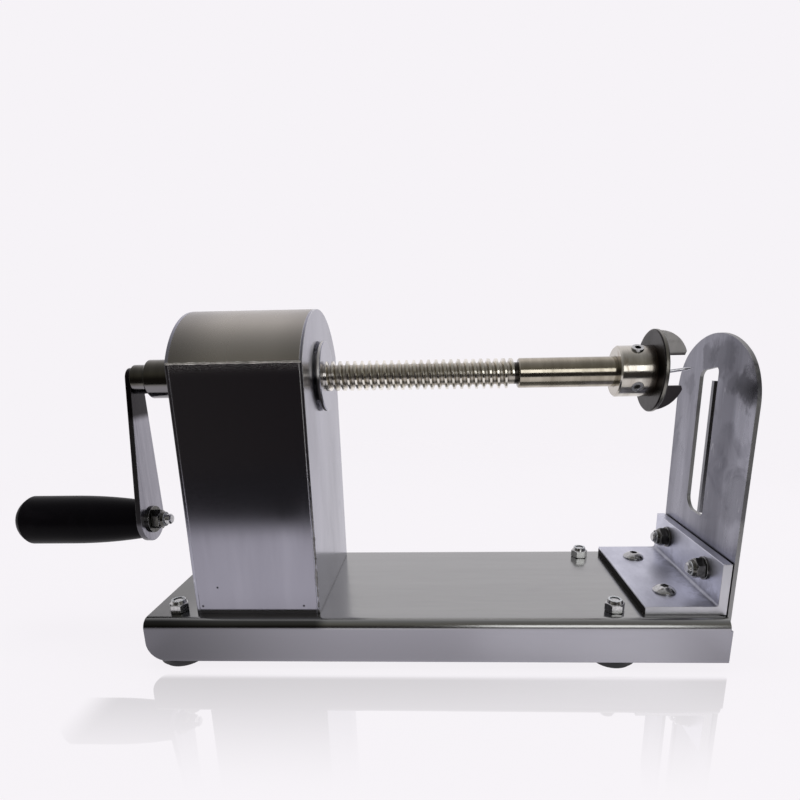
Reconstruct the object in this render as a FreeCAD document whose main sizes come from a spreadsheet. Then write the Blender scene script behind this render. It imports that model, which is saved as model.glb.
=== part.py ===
import FreeCAD, Part
import math
import os
import Sketcher

# Tornado potato cutter, hand cranked: a sheet steel tray carries a tall housing with a fixed feed nut
# on the left and an upright cutter plate on the right. A crank turns a trapezoidal lead screw that
# runs through the nut, so the holder and its needle push a potato against the blade as they turn it.
#
# Frame: +X from the grip towards the cutter plate, +Y away from the person, +Z up, millimetres.
# The origin is on the floor, midway between the two ends and in the middle of the tray's depth.

# Driving dimensions, in millimetres and degrees. Each one becomes a named cell of the sheet.
SIZES = {
    # sheet metal tray, open underneath and at its left end
    "tray_length": 302.7,
    "tray_depth": 100.0,
    "tray_height": 23.4,
    "tray_sheet": 2.0,
    "tray_bend": 5.0,
    "tray_corner": 10.5,
    "tray_relief": 1.0,
    "flange_gap": 0.5,
    # rubber feet and what holds them
    "foot_radius": 12.2,
    "foot_round": 1.8,
    "foot_drop": 4.5,
    "foot_edge_gap": 0.3,
    "foot_boss_radius": 8.7,
    "foot_boss_taper": 2.6,
    "foot_recess_radius": 6.5,
    "foot_recess_depth": 12.0,
    "foot_left_inset": 14.5,
    "foot_right_inset": 55.8,
    "foot_side_inset": 12.2,
    "foot_nut_across": 9.0,
    "foot_bolt_sunk": 0.4,
    # M6 fasteners
    "bolt_radius": 3.0,
    "bolt_hole_gap": 0.3,
    "bolt_chamfer": 0.7,
    "bolt_show": 2.0,
    "head_radius": 6.0,
    "head_height": 3.6,
    "head_rim": 0.8,
    "socket_across": 4.0,
    "socket_depth": 2.2,
    "washer_radius": 6.2,
    "washer_thick": 1.2,
    "nut_across": 10.0,
    "nut_height": 4.6,
    "nut_ring_step": 0.4,
    "nut_ring_height": 1.8,
    "nut_chamfer": 0.45,
    # housing, a folded wrap between two end plates
    "housing_inset": 26.0,
    "housing_length": 66.0,
    "housing_depth": 83.0,
    "housing_shoulder": 130.0,
    "housing_apex": 156.0,
    "housing_sheet": 1.5,
    "tab_length": 40.0,
    "tab_foot": 16.0,
    "tab_rise": 14.0,
    "tab_sheet": 2.5,
    "tab_screw_spread": 24.0,
    # screw axis above the tray, guide bush on the left and feed nut on the right of the housing
    "axis_rise": 121.0,
    "bush_radius": 10.5,
    "bush_reach": 29.6,
    "bush_inside": 8.0,
    "bush_chamfer": 1.2,
    "nut_flange_radius": 18.7,
    "nut_flange_thick": 1.7,
    "nut_flange_gap": 1.3,
    "nut_barrel_radius": 13.0,
    "nut_barrel_length": 28.0,
    "nut_edge": 0.5,
    # lead screw: shank, trapezoidal thread, groove and smooth rod
    "shank_radius": 4.0,
    "thread_radius": 8.0,
    "thread_depth": 2.25,
    "thread_pitch": 4.0,
    "thread_crest": 1.14,
    "thread_flank_angle": 21.0,
    "thread_root_overlap": 0.3,
    "thread_length": 201.0,
    "thread_runout": 0.4,
    "groove_length": 0.9,
    "rod_radius": 7.9,
    "screw_edge": 0.6,
    "running_gap": 0.05,
    # loose stop spacer between the crank arm and the guide bush
    "spacer_length": 8.2,
    "spacer_radius": 7.9,
    "spacer_play": 0.1,
    "spacer_edge": 0.5,
    # crank arm
    "arm_thick": 2.8,
    "arm_hub_radius": 6.3,
    "arm_end_radius": 12.5,
    "crank_radius": 80.0,
    "crank_lean_angle": 3.0,
    # crank handle: a bolt clamps a sleeve to the arm, and the grip turns on the sleeve
    "grip_length": 75.5,
    "grip_radius": 14.05,
    "grip_end_radius": 10.7,
    "grip_taper": 43.0,
    "grip_play": 0.3,
    "cap_height": 9.0,
    "cap_plug_length": 4.0,
    "cap_plug_radius": 9.0,
    "cap_crown": 0.6,
    "recess_depth": 13.0,
    "sleeve_radius": 6.0,
    "grip_head_across": 10.0,
    "grip_head_height": 4.0,
    "grip_washer_radius": 7.7,
    "grip_washer_thick": 1.4,
    "grip_bolt_show": 3.6,
    # holder: collar, disc, two fins and a needle
    "collar_radius": 13.4,
    "collar_length": 18.5,
    "collar_edge": 0.8,
    "rod_end_gap": 1.5,
    "fin_plate_gap": 16.3,
    "set_radius": 3.0,
    "set_hole_gap": 0.1,
    "set_long": 6.4,
    "set_short": 5.2,
    "set_socket_across": 3.0,
    "set_socket_depth": 2.5,
    "set_upper_angle": 30.0,
    "set_lower_angle": 125.0,
    "disc_radius": 21.6,
    "disc_thick": 2.6,
    "disc_edge": 0.6,
    "fin_reach": 15.6,
    "fin_tip_rise": 10.0,
    "fin_gap": 8.0,
    "fin_thick": 2.0,
    "fin_swing_angle": 3.0,
    "fin_nose": 0.7,
    "needle_radius": 0.9,
    "needle_length": 21.0,
    "needle_point": 5.0,
    "needle_tilt": 7.0,
    "needle_drop": 1.4,
    # cutter plate with its slot, and the blade fixed behind it
    "plate_thick": 2.0,
    "plate_width": 86.0,
    "plate_drop": 4.0,
    "plate_apex": 140.0,
    "plate_top_radius": 54.0,
    "plate_shoulder_radius": 30.0,
    "slot_width": 20.3,
    "slot_offset": 5.65,
    "slot_near_round": 3.0,
    "slot_far_round": 5.0,
    "slot_low_round": 8.0,
    "slot_top_slope": 2.0,
    "slot_over_axis": 1.5,
    "slot_length": 82.0,
    "blade_thick": 1.2,
    "blade_width": 20.0,
    "blade_below_axis": 5.7,
    "blade_edge_offset": 0.4,
    "blade_foot_gap": 1.6,
    "blade_side_gap": 1.0,
    "blade_bevel": 2.5,
    # angle bracket that carries the plate
    "bracket_length": 86.0,
    "bracket_foot": 41.0,
    "bracket_rise": 27.6,
    "bracket_thick": 4.5,
    "bracket_gap": 0.8,
    "bracket_inner_round": 1.5,
    "bracket_bolt_spread": 49.0,
    "bracket_screw_back": 24.5,
    "bracket_bolt_rise": 18.0,
}

Vector = FreeCAD.Vector
X_AXIS = Vector(1, 0, 0)
Y_AXIS = Vector(0, 1, 0)
Z_AXIS = Vector(0, 0, 1)

doc = FreeCAD.newDocument("TornadoPotatoCutter")
sheet = doc.addObject("Spreadsheet::Sheet", "Dims")
for row, (alias, number) in enumerate(SIZES.items(), start=1):
    sheet.set(f"A{row}", str(number))
    sheet.setAlias(f"A{row}", alias)
doc.recompute()


# Sizes that know their formula
class Size:
    """A length or angle with the sheet formula that gives it, so that sums of sizes stay parametric."""

    def __init__(self, value, formula):
        self.value = value
        self.formula = formula

    def __add__(self, other):
        other = as_size(other)
        return Size(self.value + other.value, f"({self.formula} + {other.formula})")

    def __sub__(self, other):
        other = as_size(other)
        return Size(self.value - other.value, f"({self.formula} - {other.formula})")

    def __mul__(self, other):
        other = as_size(other)
        return Size(self.value * other.value, f"({self.formula} * {other.formula})")

    def __truediv__(self, other):
        other = as_size(other)
        return Size(self.value / other.value, f"({self.formula} / {other.formula})")

    def __neg__(self):
        return Size(-self.value, f"(0 - {self.formula})")

    __radd__ = __add__
    __rmul__ = __mul__

    def __rsub__(self, other):
        return as_size(other) - self


def as_size(amount):
    """The amount itself if it is a Size, or a Size that holds a plain number."""
    if isinstance(amount, Size):
        return amount
    return Size(float(amount), f"({float(amount)!r})")


def square_root(amount):
    """The square root of a Size, as a Size."""
    return Size(math.sqrt(amount.value), f"sqrt({amount.formula})")


def sine(angle):
    """The sine of a Size in degrees, as a Size."""
    return Size(math.sin(math.radians(angle.value)), f"sin({angle.formula} * 1 deg)")


def cosine(angle):
    """The cosine of a Size in degrees, as a Size."""
    return Size(math.cos(math.radians(angle.value)), f"cos({angle.formula} * 1 deg)")


def tangent(angle):
    """The tangent of a Size in degrees, as a Size."""
    return Size(math.tan(math.radians(angle.value)), f"tan({angle.formula} * 1 deg)")


class Dimensions:
    """Reads a driving dimension from the sheet by its alias."""

    def __getattr__(self, alias):
        return Size(float(sheet.get(alias)), f"Dims.{alias}")


dim = Dimensions()


# Placing and binding
def bind(item, path, amount):
    """Ties a property of an object to the sheet."""
    item.setExpression(path, as_size(amount).formula)


def place(item, across=0, deep=0, up=0, axis=None, angle=0):
    """Turns an object about its own origin and moves it to a point that follows the sheet."""
    if axis is not None:
        start = angle.value if isinstance(angle, Size) else angle
        item.Placement = FreeCAD.Placement(Vector(0, 0, 0), FreeCAD.Rotation(axis, start))
        if isinstance(angle, Size):
            bind(item, "Placement.Rotation.Angle", angle)
    bind(item, "Placement.Base.x", across)
    bind(item, "Placement.Base.y", deep)
    bind(item, "Placement.Base.z", up)
    return item


# Sketches and PartDesign features
def new_body(label):
    """An empty body for one sub-part."""
    body = doc.addObject("PartDesign::Body", label)
    body.Label = label
    return body


def origin_feature(body, role):
    """One of a body's own origin planes or axes."""
    return next(item for item in body.Origin.OriginFeatures if item.Role == role)


def new_sketch(body, plane, name, offset=0):
    """A sketch on one of the body's origin planes, moved along the plane's normal."""
    sketch = body.newObject("Sketcher::SketchObject", name)
    sketch.AttachmentSupport = [(origin_feature(body, plane), "")]
    sketch.MapMode = "FlatFace"
    bind(sketch, "AttachmentOffset.Base.z", offset)
    return sketch


def pin_point(sketch, edge, end, across, up):
    """Holds one point of a sketch at two distances from the origin."""
    for kind, amount in (("DistanceX", as_size(across)), ("DistanceY", as_size(up))):
        index = sketch.addConstraint(Sketcher.Constraint(kind, -1, 1, edge, end, amount.value))
        sketch.setExpression(f"Constraints[{index}]", amount.formula)


def pin_radius(sketch, edge, radius):
    """Holds the radius of an arc or circle."""
    index = sketch.addConstraint(Sketcher.Constraint("Radius", edge, radius.value))
    sketch.setExpression(f"Constraints[{index}]", radius.formula)


def arc_through(start, end, radius, turn):
    """The lesser arc from start to end that bends left (turn 1) or right (turn -1)."""
    chord = end - start
    middle = (start + end) / 2
    reach = math.sqrt(max(0.0, radius ** 2 - (chord.Length / 2) ** 2))
    left = Vector(-chord.y, chord.x, 0) / chord.Length
    centre = middle + left * (reach * turn)
    bulge = middle - centre
    if bulge.Length < 1e-9:
        bulge = left * -turn
    crown = centre + bulge / bulge.Length * radius
    return Part.Arc(start, crown, end)


def draw_outline(sketch, corners):
    """Draws a closed outline through the corners, each pinned to the sheet.

    A corner is (across, up), or (across, up, radius, turn) where an arc leads on to the next one.
    """
    points = [Vector(as_size(c[0]).value, as_size(c[1]).value, 0) for c in corners]
    starts = []
    ends = []
    for number, corner in enumerate(corners):
        start = points[number]
        end = points[(number + 1) % len(corners)]
        if len(corner) == 2:
            edge = sketch.addGeometry(Part.LineSegment(start, end), False)
            starts.append((edge, 1))
            ends.append((edge, 2))
            continue
        edge = sketch.addGeometry(arc_through(start, end, corner[2].value, corner[3]), False)
        starts.append((edge, 1) if corner[3] > 0 else (edge, 2))
        ends.append((edge, 2) if corner[3] > 0 else (edge, 1))
        pin_radius(sketch, edge, corner[2])
    for number, corner in enumerate(corners):
        following = (number + 1) % len(corners)
        sketch.addConstraint(Sketcher.Constraint("Coincident", *ends[number], *starts[following]))
        pin_point(sketch, *starts[number], corner[0], corner[1])


def draw_circle(sketch, across, up, radius):
    """Draws a circle whose centre and radius follow the sheet."""
    centre = Vector(as_size(across).value, as_size(up).value, 0)
    edge = sketch.addGeometry(Part.Circle(centre, Z_AXIS, radius.value), False)
    pin_point(sketch, edge, 3, across, up)
    pin_radius(sketch, edge, radius)


def draw_belt(sketch, upper, lower, upper_radius, lower_radius):
    """Draws the outline of a belt round two circles, one right above the other."""
    high = Vector(as_size(upper[0]).value, as_size(upper[1]).value, 0)
    low = Vector(as_size(lower[0]).value, as_size(lower[1]).value, 0)
    lean = math.asin((lower_radius.value - upper_radius.value) / (high - low).Length)
    right = Vector(math.cos(lean), math.sin(lean), 0)
    left = Vector(-right.x, right.y, 0)
    top = Part.Circle(high, Z_AXIS, upper_radius.value)
    bottom = Part.Circle(low, Z_AXIS, lower_radius.value)
    half_turn = math.pi
    edges = [
        Part.ArcOfCircle(top, lean, half_turn - lean),
        Part.LineSegment(high + left * upper_radius.value, low + left * lower_radius.value),
        Part.ArcOfCircle(bottom, half_turn - lean, 2 * half_turn + lean),
        Part.LineSegment(low + right * lower_radius.value, high + right * upper_radius.value),
    ]
    first = sketch.GeometryCount
    for edge in edges:
        sketch.addGeometry(edge, False)
    for number in range(4):
        here, following = first + number, first + (number + 1) % 4
        sketch.addConstraint(Sketcher.Constraint("Tangent", here, 2, following, 1))
    pin_point(sketch, first, 3, *upper)
    pin_point(sketch, first + 2, 3, *lower)
    pin_radius(sketch, first, upper_radius)
    pin_radius(sketch, first + 2, lower_radius)


def pad(body, sketch, name, length):
    """Pads a sketch along its normal."""
    feature = body.newObject("PartDesign::Pad", name)
    feature.Profile = sketch
    bind(feature, "Length", length)
    doc.recompute()
    return feature


def cut_through(body, sketch, name):
    """Cuts a sketch through the whole body both ways, and makes sure that something was cut."""
    before = body.Shape.Volume
    feature = body.newObject("PartDesign::Pocket", name)
    feature.Profile = sketch
    feature.Type = "ThroughAll"
    feature.SideType = "Symmetric"
    doc.recompute()
    if not feature.Shape.Volume < before:
        raise RuntimeError(f"{name} of {body.Label} cuts nothing")
    return feature


def round_edges(body, name, radius, chosen):
    """Rounds the edges of the body's last feature whose middle point passes the test."""
    base = body.Tip
    names = []
    for number, edge in enumerate(base.Shape.Edges, start=1):
        middle = edge.valueAt((edge.FirstParameter + edge.LastParameter) / 2)
        if chosen(edge, middle):
            names.append(f"Edge{number}")
    if not names:
        raise RuntimeError(f"{name} of {body.Label} finds no edge")
    feature = body.newObject("PartDesign::Fillet", name)
    feature.Base = (base, names)
    bind(feature, "Radius", radius)
    doc.recompute()
    return feature


def turned(label, corners, axis="X_Axis"):
    """A body turned on a lathe: its half outline, as (along, out) points, goes round the X or Z axis."""
    body = new_body(label)
    sketch = new_sketch(body, "XZ_Plane", f"{label}_profile")
    if axis == "Z_Axis":
        corners = [(c[1], c[0]) if len(c) == 2 else (c[1], c[0], c[2], -c[3]) for c in corners]
    draw_outline(sketch, corners)
    feature = body.newObject("PartDesign::Revolution", f"{label}_turning")
    feature.Profile = sketch
    feature.ReferenceAxis = (origin_feature(body, axis), [""])
    feature.Angle = 360
    doc.recompute()
    return body


# Part primitives and booleans
def cylinder(name, radius, height, up=0):
    """An upright cylinder on the Z axis."""
    item = doc.addObject("Part::Cylinder", name)
    bind(item, "Radius", radius)
    bind(item, "Height", height)
    bind(item, "Placement.Base.z", up)
    return item


def cone(name, lower_radius, upper_radius, height, up=0):
    """An upright cone or frustum on the Z axis."""
    item = doc.addObject("Part::Cone", name)
    bind(item, "Radius1", lower_radius)
    bind(item, "Radius2", upper_radius)
    bind(item, "Height", height)
    bind(item, "Placement.Base.z", up)
    return item


def block(name, long, deep, high):
    """A box with one corner at its own origin."""
    item = doc.addObject("Part::Box", name)
    bind(item, "Length", long)
    bind(item, "Width", deep)
    bind(item, "Height", high)
    return item


def hexagon(name, across_flats, height, up=0):
    """An upright hexagonal prism on the Z axis."""
    item = doc.addObject("Part::Prism", name)
    item.Polygon = 6
    bind(item, "Circumradius", across_flats / math.sqrt(3))
    bind(item, "Height", height)
    bind(item, "Placement.Base.z", up)
    return item


def cut(name, base, tool):
    """One shape less another."""
    item = doc.addObject("Part::Cut", name)
    item.Base = base
    item.Tool = tool
    return item


def fuse(name, shapes):
    """Several shapes joined into one solid."""
    item = doc.addObject("Part::MultiFuse", name)
    item.Shapes = shapes
    return item


def common(name, shapes):
    """What several shapes share."""
    item = doc.addObject("Part::MultiCommon", name)
    item.Shapes = shapes
    return item


def group(label, items):
    """Several like pieces kept as separate solids in one sub-part."""
    item = doc.addObject("Part::Compound", label)
    item.Links = items
    item.Label = label
    return item


# Positions that many pieces share
head_crown = dim.head_height - dim.head_rim
head_dome_radius = (dim.head_radius * dim.head_radius + head_crown * head_crown) / (head_crown * 2)
half_socket = dim.socket_across / 2
head_peak = dim.head_height - head_dome_radius + square_root(
    head_dome_radius * head_dome_radius - half_socket * half_socket
)
reach_right = dim.plate_thick + head_peak
overall_length = (
    dim.grip_length + dim.grip_play + dim.arm_thick + dim.spacer_length + dim.spacer_play * 2
    + dim.bush_reach - dim.housing_inset + dim.tray_length + reach_right
)
tray_right = overall_length / 2 - reach_right
tray_left = tray_right - dim.tray_length
tray_top = dim.foot_drop + dim.tray_height
tray_under = tray_top - dim.tray_sheet
half_depth = dim.tray_depth / 2
axis_height = tray_top + dim.axis_rise

housing_left = tray_left + dim.housing_inset
housing_right = housing_left + dim.housing_length
bush_left = housing_left - dim.bush_reach
spacer_left = bush_left - dim.spacer_play - dim.spacer_length
arm_right = spacer_left - dim.spacer_play
arm_left = arm_right - dim.arm_thick
grip_right = arm_left - dim.grip_play
thread_start = bush_left
handle_height = axis_height - dim.crank_radius * cosine(dim.crank_lean_angle)
handle_side = -dim.crank_radius * sine(dim.crank_lean_angle)

plate_left = tray_right
plate_right = plate_left + dim.plate_thick
disc_right = plate_left - dim.fin_plate_gap - dim.fin_reach
disc_left = disc_right - dim.disc_thick
collar_left = disc_left - dim.collar_length
rod_end = disc_left - dim.rod_end_gap
bracket_corner = plate_left - dim.bracket_gap
bracket_left = bracket_corner - dim.bracket_foot
bracket_screw_x = bracket_corner - dim.bracket_screw_back
bracket_bolt_z = tray_top + dim.bracket_bolt_rise
bolt_hole_radius = dim.bolt_radius + dim.bolt_hole_gap

foot_places = {
    "front_left": (tray_left + dim.foot_left_inset, dim.foot_side_inset - half_depth),
    "front_right": (tray_right - dim.foot_right_inset, dim.foot_side_inset - half_depth),
    "rear_left": (tray_left + dim.foot_left_inset, half_depth - dim.foot_side_inset),
    "rear_right": (tray_right - dim.foot_right_inset, half_depth - dim.foot_side_inset),
}
bracket_screw_places = [
    (bracket_screw_x, -dim.bracket_bolt_spread / 2),
    (bracket_screw_x, dim.bracket_bolt_spread / 2),
]
housing_middle = housing_left + dim.housing_length / 2
tab_screw_y = dim.housing_depth / 2 - dim.housing_sheet - dim.tab_foot / 2
tab_screw_places = [
    (housing_middle + dim.tab_screw_spread / 2 * side, tab_screw_y * face)
    for face in (-1, 1)
    for side in (-1, 1)
]


# Tray
def make_tray():
    """The folded tray: a channel along X, a flange down its right end, and all its holes."""
    body = new_body("base_tray")
    inner_bend = dim.tray_bend - dim.tray_sheet
    bend_up = tray_top - dim.tray_bend
    outer = half_depth
    inner = half_depth - dim.tray_sheet
    flat = half_depth - dim.tray_bend
    profile = new_sketch(body, "YZ_Plane", "tray_profile", tray_left)
    draw_outline(profile, [
        (-outer, dim.foot_drop),
        (-inner, dim.foot_drop),
        (-inner, bend_up, inner_bend, -1),
        (-flat, tray_under),
        (flat, tray_under, inner_bend, -1),
        (inner, bend_up),
        (inner, dim.foot_drop),
        (outer, dim.foot_drop),
        (outer, bend_up, dim.tray_bend, 1),
        (flat, tray_top),
        (-flat, tray_top, dim.tray_bend, 1),
        (-outer, bend_up),
    ])
    pad(body, profile, "tray_channel", dim.tray_length)

    wing = flat - dim.flange_gap
    beyond = tray_right + dim.tray_sheet
    outside = outer + dim.tray_sheet
    bend_start = tray_right - dim.tray_bend
    notch_left = tray_right - dim.tray_relief
    relief = new_sketch(body, "XY_Plane", "relief_outline", tray_top)
    draw_outline(relief, [
        (notch_left, -outside),
        (beyond, -outside),
        (beyond, outside),
        (notch_left, outside),
        (notch_left, wing),
        (bend_start, wing),
        (bend_start, -wing),
        (notch_left, -wing),
    ])
    before = body.Shape.Volume
    notch = body.newObject("PartDesign::Pocket", "corner_reliefs")
    notch.Profile = relief
    bind(notch, "Length", dim.tray_bend + dim.flange_gap)
    doc.recompute()
    if not notch.Shape.Volume < before:
        raise RuntimeError("the corner reliefs cut nothing")

    flange = new_sketch(body, "XZ_Plane", "end_flange_outline", -wing)
    draw_outline(flange, [
        (bend_start, tray_under, inner_bend, -1),
        (tray_right - dim.tray_sheet, bend_up),
        (tray_right - dim.tray_sheet, dim.foot_drop),
        (tray_right, dim.foot_drop),
        (tray_right, bend_up, dim.tray_bend, 1),
        (bend_start, tray_top),
    ])
    pad(body, flange, "end_flange", wing * 2)

    round_edges(body, "lower_corners", dim.tray_corner, lambda edge, middle: (
        abs(middle.x - tray_left.value) < 0.01
        and abs(middle.z - dim.foot_drop.value) < 0.01
        and edge.Length < dim.tray_sheet.value * 1.5
    ))

    holes = new_sketch(body, "XY_Plane", "tray_holes")
    for across, deep in [*foot_places.values(), *bracket_screw_places, *tab_screw_places]:
        draw_circle(holes, across, deep, bolt_hole_radius)
    cut_through(body, holes, "tray_holes_cut")
    return body


# Feet
def make_foot(name, across, deep):
    """A rubber foot: a wide pad under the tray's edge, a boss above it, and a recess for its screw."""
    height = tray_under
    pad_top = dim.foot_drop - dim.foot_edge_gap
    bore = bolt_hole_radius
    foot = turned(f"foot_{name}", [
        (dim.foot_recess_depth, bore),
        (height, bore),
        (height, dim.foot_boss_radius - dim.foot_boss_taper),
        (pad_top, dim.foot_boss_radius),
        (pad_top, dim.foot_radius),
        (dim.foot_round, dim.foot_radius, dim.foot_round, -1),
        (0, dim.foot_radius - dim.foot_round),
        (0, dim.foot_recess_radius),
        (dim.foot_recess_depth, dim.foot_recess_radius),
    ], "Z_Axis")
    return place(foot, across, deep, 0)


# Fasteners: each one is made upright, with its seat at its own origin
def button_screw(name, length):
    """A button head screw with a hexagon socket: the head above its seat, the shank below it."""
    dome = doc.addObject("Part::Sphere", f"{name}_dome")
    bind(dome, "Radius", head_dome_radius)
    bind(dome, "Placement.Base.z", dim.head_height - head_dome_radius)
    head = common(f"{name}_head", [cylinder(f"{name}_blank", dim.head_radius, dim.head_height), dome])
    shank = cylinder(f"{name}_shank", dim.bolt_radius, length - dim.bolt_chamfer, dim.bolt_chamfer - length)
    tip = cone(
        f"{name}_tip", dim.bolt_radius - dim.bolt_chamfer, dim.bolt_radius, dim.bolt_chamfer, -length
    )
    socket = hexagon(
        f"{name}_socket", dim.socket_across, dim.head_height, dim.head_height - dim.socket_depth
    )
    return cut(name, fuse(f"{name}_solid", [head, shank, tip]), socket)


def chamfered_hexagon(name, across_flats, height):
    """A hexagon whose corners are turned off at 30 degrees at both ends."""
    spread = height * math.sqrt(3)
    face = across_flats / 2 - dim.nut_chamfer / 2
    lower = cone(f"{name}_lower_turning", face, face + spread, height)
    upper = cone(f"{name}_upper_turning", face + spread, face, height)
    return common(f"{name}_hexagon", [hexagon(f"{name}_blank", across_flats, height), lower, upper])


def lock_nut(name, across_flats):
    """A lock nut: a hexagon with a nylon ring in a collar above it."""
    ring_radius = across_flats / 2 - dim.nut_ring_step
    ring = cone(
        f"{name}_ring", ring_radius, ring_radius - dim.nut_chamfer, dim.nut_ring_height, dim.nut_height
    )
    solid = fuse(f"{name}_solid", [chamfered_hexagon(name, across_flats, dim.nut_height), ring])
    bore = cylinder(f"{name}_bore", dim.bolt_radius + dim.running_gap, dim.nut_height + dim.nut_ring_height)
    return cut(name, solid, bore)


def washer(name, outer, inner, thick):
    """A plain washer."""
    return cut(name, cylinder(f"{name}_rim", outer, thick), cylinder(f"{name}_hole", inner, thick))


def m6_washer(name):
    """A plain washer for the M6 screws."""
    return washer(name, dim.washer_radius, bolt_hole_radius, dim.washer_thick)


nut_stack = dim.nut_height + dim.nut_ring_height


def make_foot_fasteners():
    """Screws up through the feet, with smaller lock nuts straight on the tray."""
    screws, nuts = [], []
    length = tray_top - dim.foot_recess_depth + nut_stack - dim.foot_bolt_sunk
    for name, (across, deep) in foot_places.items():
        screw = button_screw(f"foot_screw_{name}", length)
        screws.append(place(screw, across, deep, dim.foot_recess_depth, X_AXIS, 180))
        nuts.append(place(lock_nut(f"foot_nut_{name}", dim.foot_nut_across), across, deep, tray_top))
    return [group("foot_screws", screws), group("foot_lock_nuts", nuts)]


# Housing
def arch_corners(half_width, bottom, shoulder, crown_radius):
    """Outline of a tombstone: straight sides and one arc over the top."""
    return [
        (-half_width, bottom),
        (half_width, bottom),
        (half_width, shoulder, crown_radius, 1),
        (-half_width, shoulder),
    ]


housing_half = dim.housing_depth / 2
housing_rise = dim.housing_apex - dim.housing_shoulder
crown_radius = (housing_half * housing_half + housing_rise * housing_rise) / (housing_rise * 2)
crown_centre = tray_top + dim.housing_apex - crown_radius
shoulder_height = tray_top + dim.housing_shoulder


def make_housing_wrap():
    """The sheet that goes up the front, over the top and down the back."""
    body = new_body("housing_wrap")
    inner_half = housing_half - dim.housing_sheet
    inner_radius = crown_radius - dim.housing_sheet
    inner_shoulder = crown_centre + square_root(inner_radius * inner_radius - inner_half * inner_half)
    profile = new_sketch(body, "YZ_Plane", "wrap_profile", housing_left + dim.housing_sheet)
    draw_outline(profile, [
        (-housing_half, tray_top),
        (-inner_half, tray_top),
        (-inner_half, inner_shoulder, inner_radius, -1),
        (inner_half, inner_shoulder),
        (inner_half, tray_top),
        (housing_half, tray_top),
        (housing_half, shoulder_height, crown_radius, 1),
        (-housing_half, shoulder_height),
    ])
    pad(body, profile, "wrap_sheet", dim.housing_length - dim.housing_sheet * 2)
    return body


def make_end_plate(label, left, hole_radius):
    """A tombstone plate that closes one end of the housing round the screw."""
    body = new_body(label)
    outline = new_sketch(body, "YZ_Plane", f"{label}_outline", left)
    draw_outline(outline, arch_corners(housing_half, tray_top, shoulder_height, crown_radius))
    draw_circle(outline, 0, axis_height, hole_radius)
    pad(body, outline, f"{label}_sheet", dim.housing_sheet)
    return body


def make_housing_tabs():
    """Two angle strips inside the housing, tapped for the screws that hold it to the tray."""
    tabs = []
    for side, name in ((-1, "front"), (1, "rear")):
        body = new_body(f"{name}_tab")
        wall = (housing_half - dim.housing_sheet) * side
        toe = (housing_half - dim.housing_sheet - dim.tab_foot) * side
        inside = (housing_half - dim.housing_sheet - dim.tab_sheet) * side
        profile = new_sketch(body, "YZ_Plane", f"{name}_tab_profile", housing_middle - dim.tab_length / 2)
        draw_outline(profile, [
            (wall, tray_top),
            (toe, tray_top),
            (toe, tray_top + dim.tab_sheet),
            (inside, tray_top + dim.tab_sheet),
            (inside, tray_top + dim.tab_rise),
            (wall, tray_top + dim.tab_rise),
        ])
        pad(body, profile, f"{name}_tab_strip", dim.tab_length)
        holes = new_sketch(body, "XY_Plane", f"{name}_tab_holes")
        for end in (-1, 1):
            across = housing_middle + dim.tab_screw_spread / 2 * end
            draw_circle(holes, across, tab_screw_y * side, dim.bolt_radius + dim.running_gap)
        cut_through(body, holes, f"{name}_tab_holes_cut")
        tabs.append(body)
    return group("housing_tabs", tabs)


def make_housing_screws():
    """Button head screws from under the tray into the tabs."""
    length = dim.tray_sheet + dim.tab_sheet + dim.bolt_show
    screws = []
    for number, (across, deep) in enumerate(tab_screw_places, start=1):
        screw = button_screw(f"housing_screw_{number}", length)
        screws.append(place(screw, across, deep, tray_under, X_AXIS, 180))
    return group("housing_screws", screws)


# Bush and feed nut, both fixed in the housing
screw_bore = dim.thread_radius + dim.running_gap


def make_guide_bush():
    """The boss on the left of the housing, a plain bush for the screw's crests."""
    length = dim.bush_reach + dim.housing_sheet + dim.bush_inside
    bush = turned("guide_bush", [
        (0, screw_bore),
        (0, dim.bush_radius - dim.bush_chamfer),
        (dim.bush_chamfer, dim.bush_radius),
        (length, dim.bush_radius),
        (length, screw_bore),
    ])
    return place(bush, bush_left, 0, axis_height)


def make_feed_nut():
    """The flanged nut that the lead screw turns in, its barrel inside the housing."""
    flange_left = dim.nut_barrel_length + dim.nut_flange_gap
    flange_right = flange_left + dim.nut_flange_thick
    nut = turned("feed_nut", [
        (0, screw_bore),
        (0, dim.nut_barrel_radius - dim.nut_edge),
        (dim.nut_edge, dim.nut_barrel_radius),
        (flange_left, dim.nut_barrel_radius),
        (flange_left, dim.nut_flange_radius),
        (flange_right - dim.nut_edge, dim.nut_flange_radius),
        (flange_right, dim.nut_flange_radius - dim.nut_edge),
        (flange_right, screw_bore),
    ])
    return place(nut, housing_right - dim.nut_barrel_length, 0, axis_height)


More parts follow.
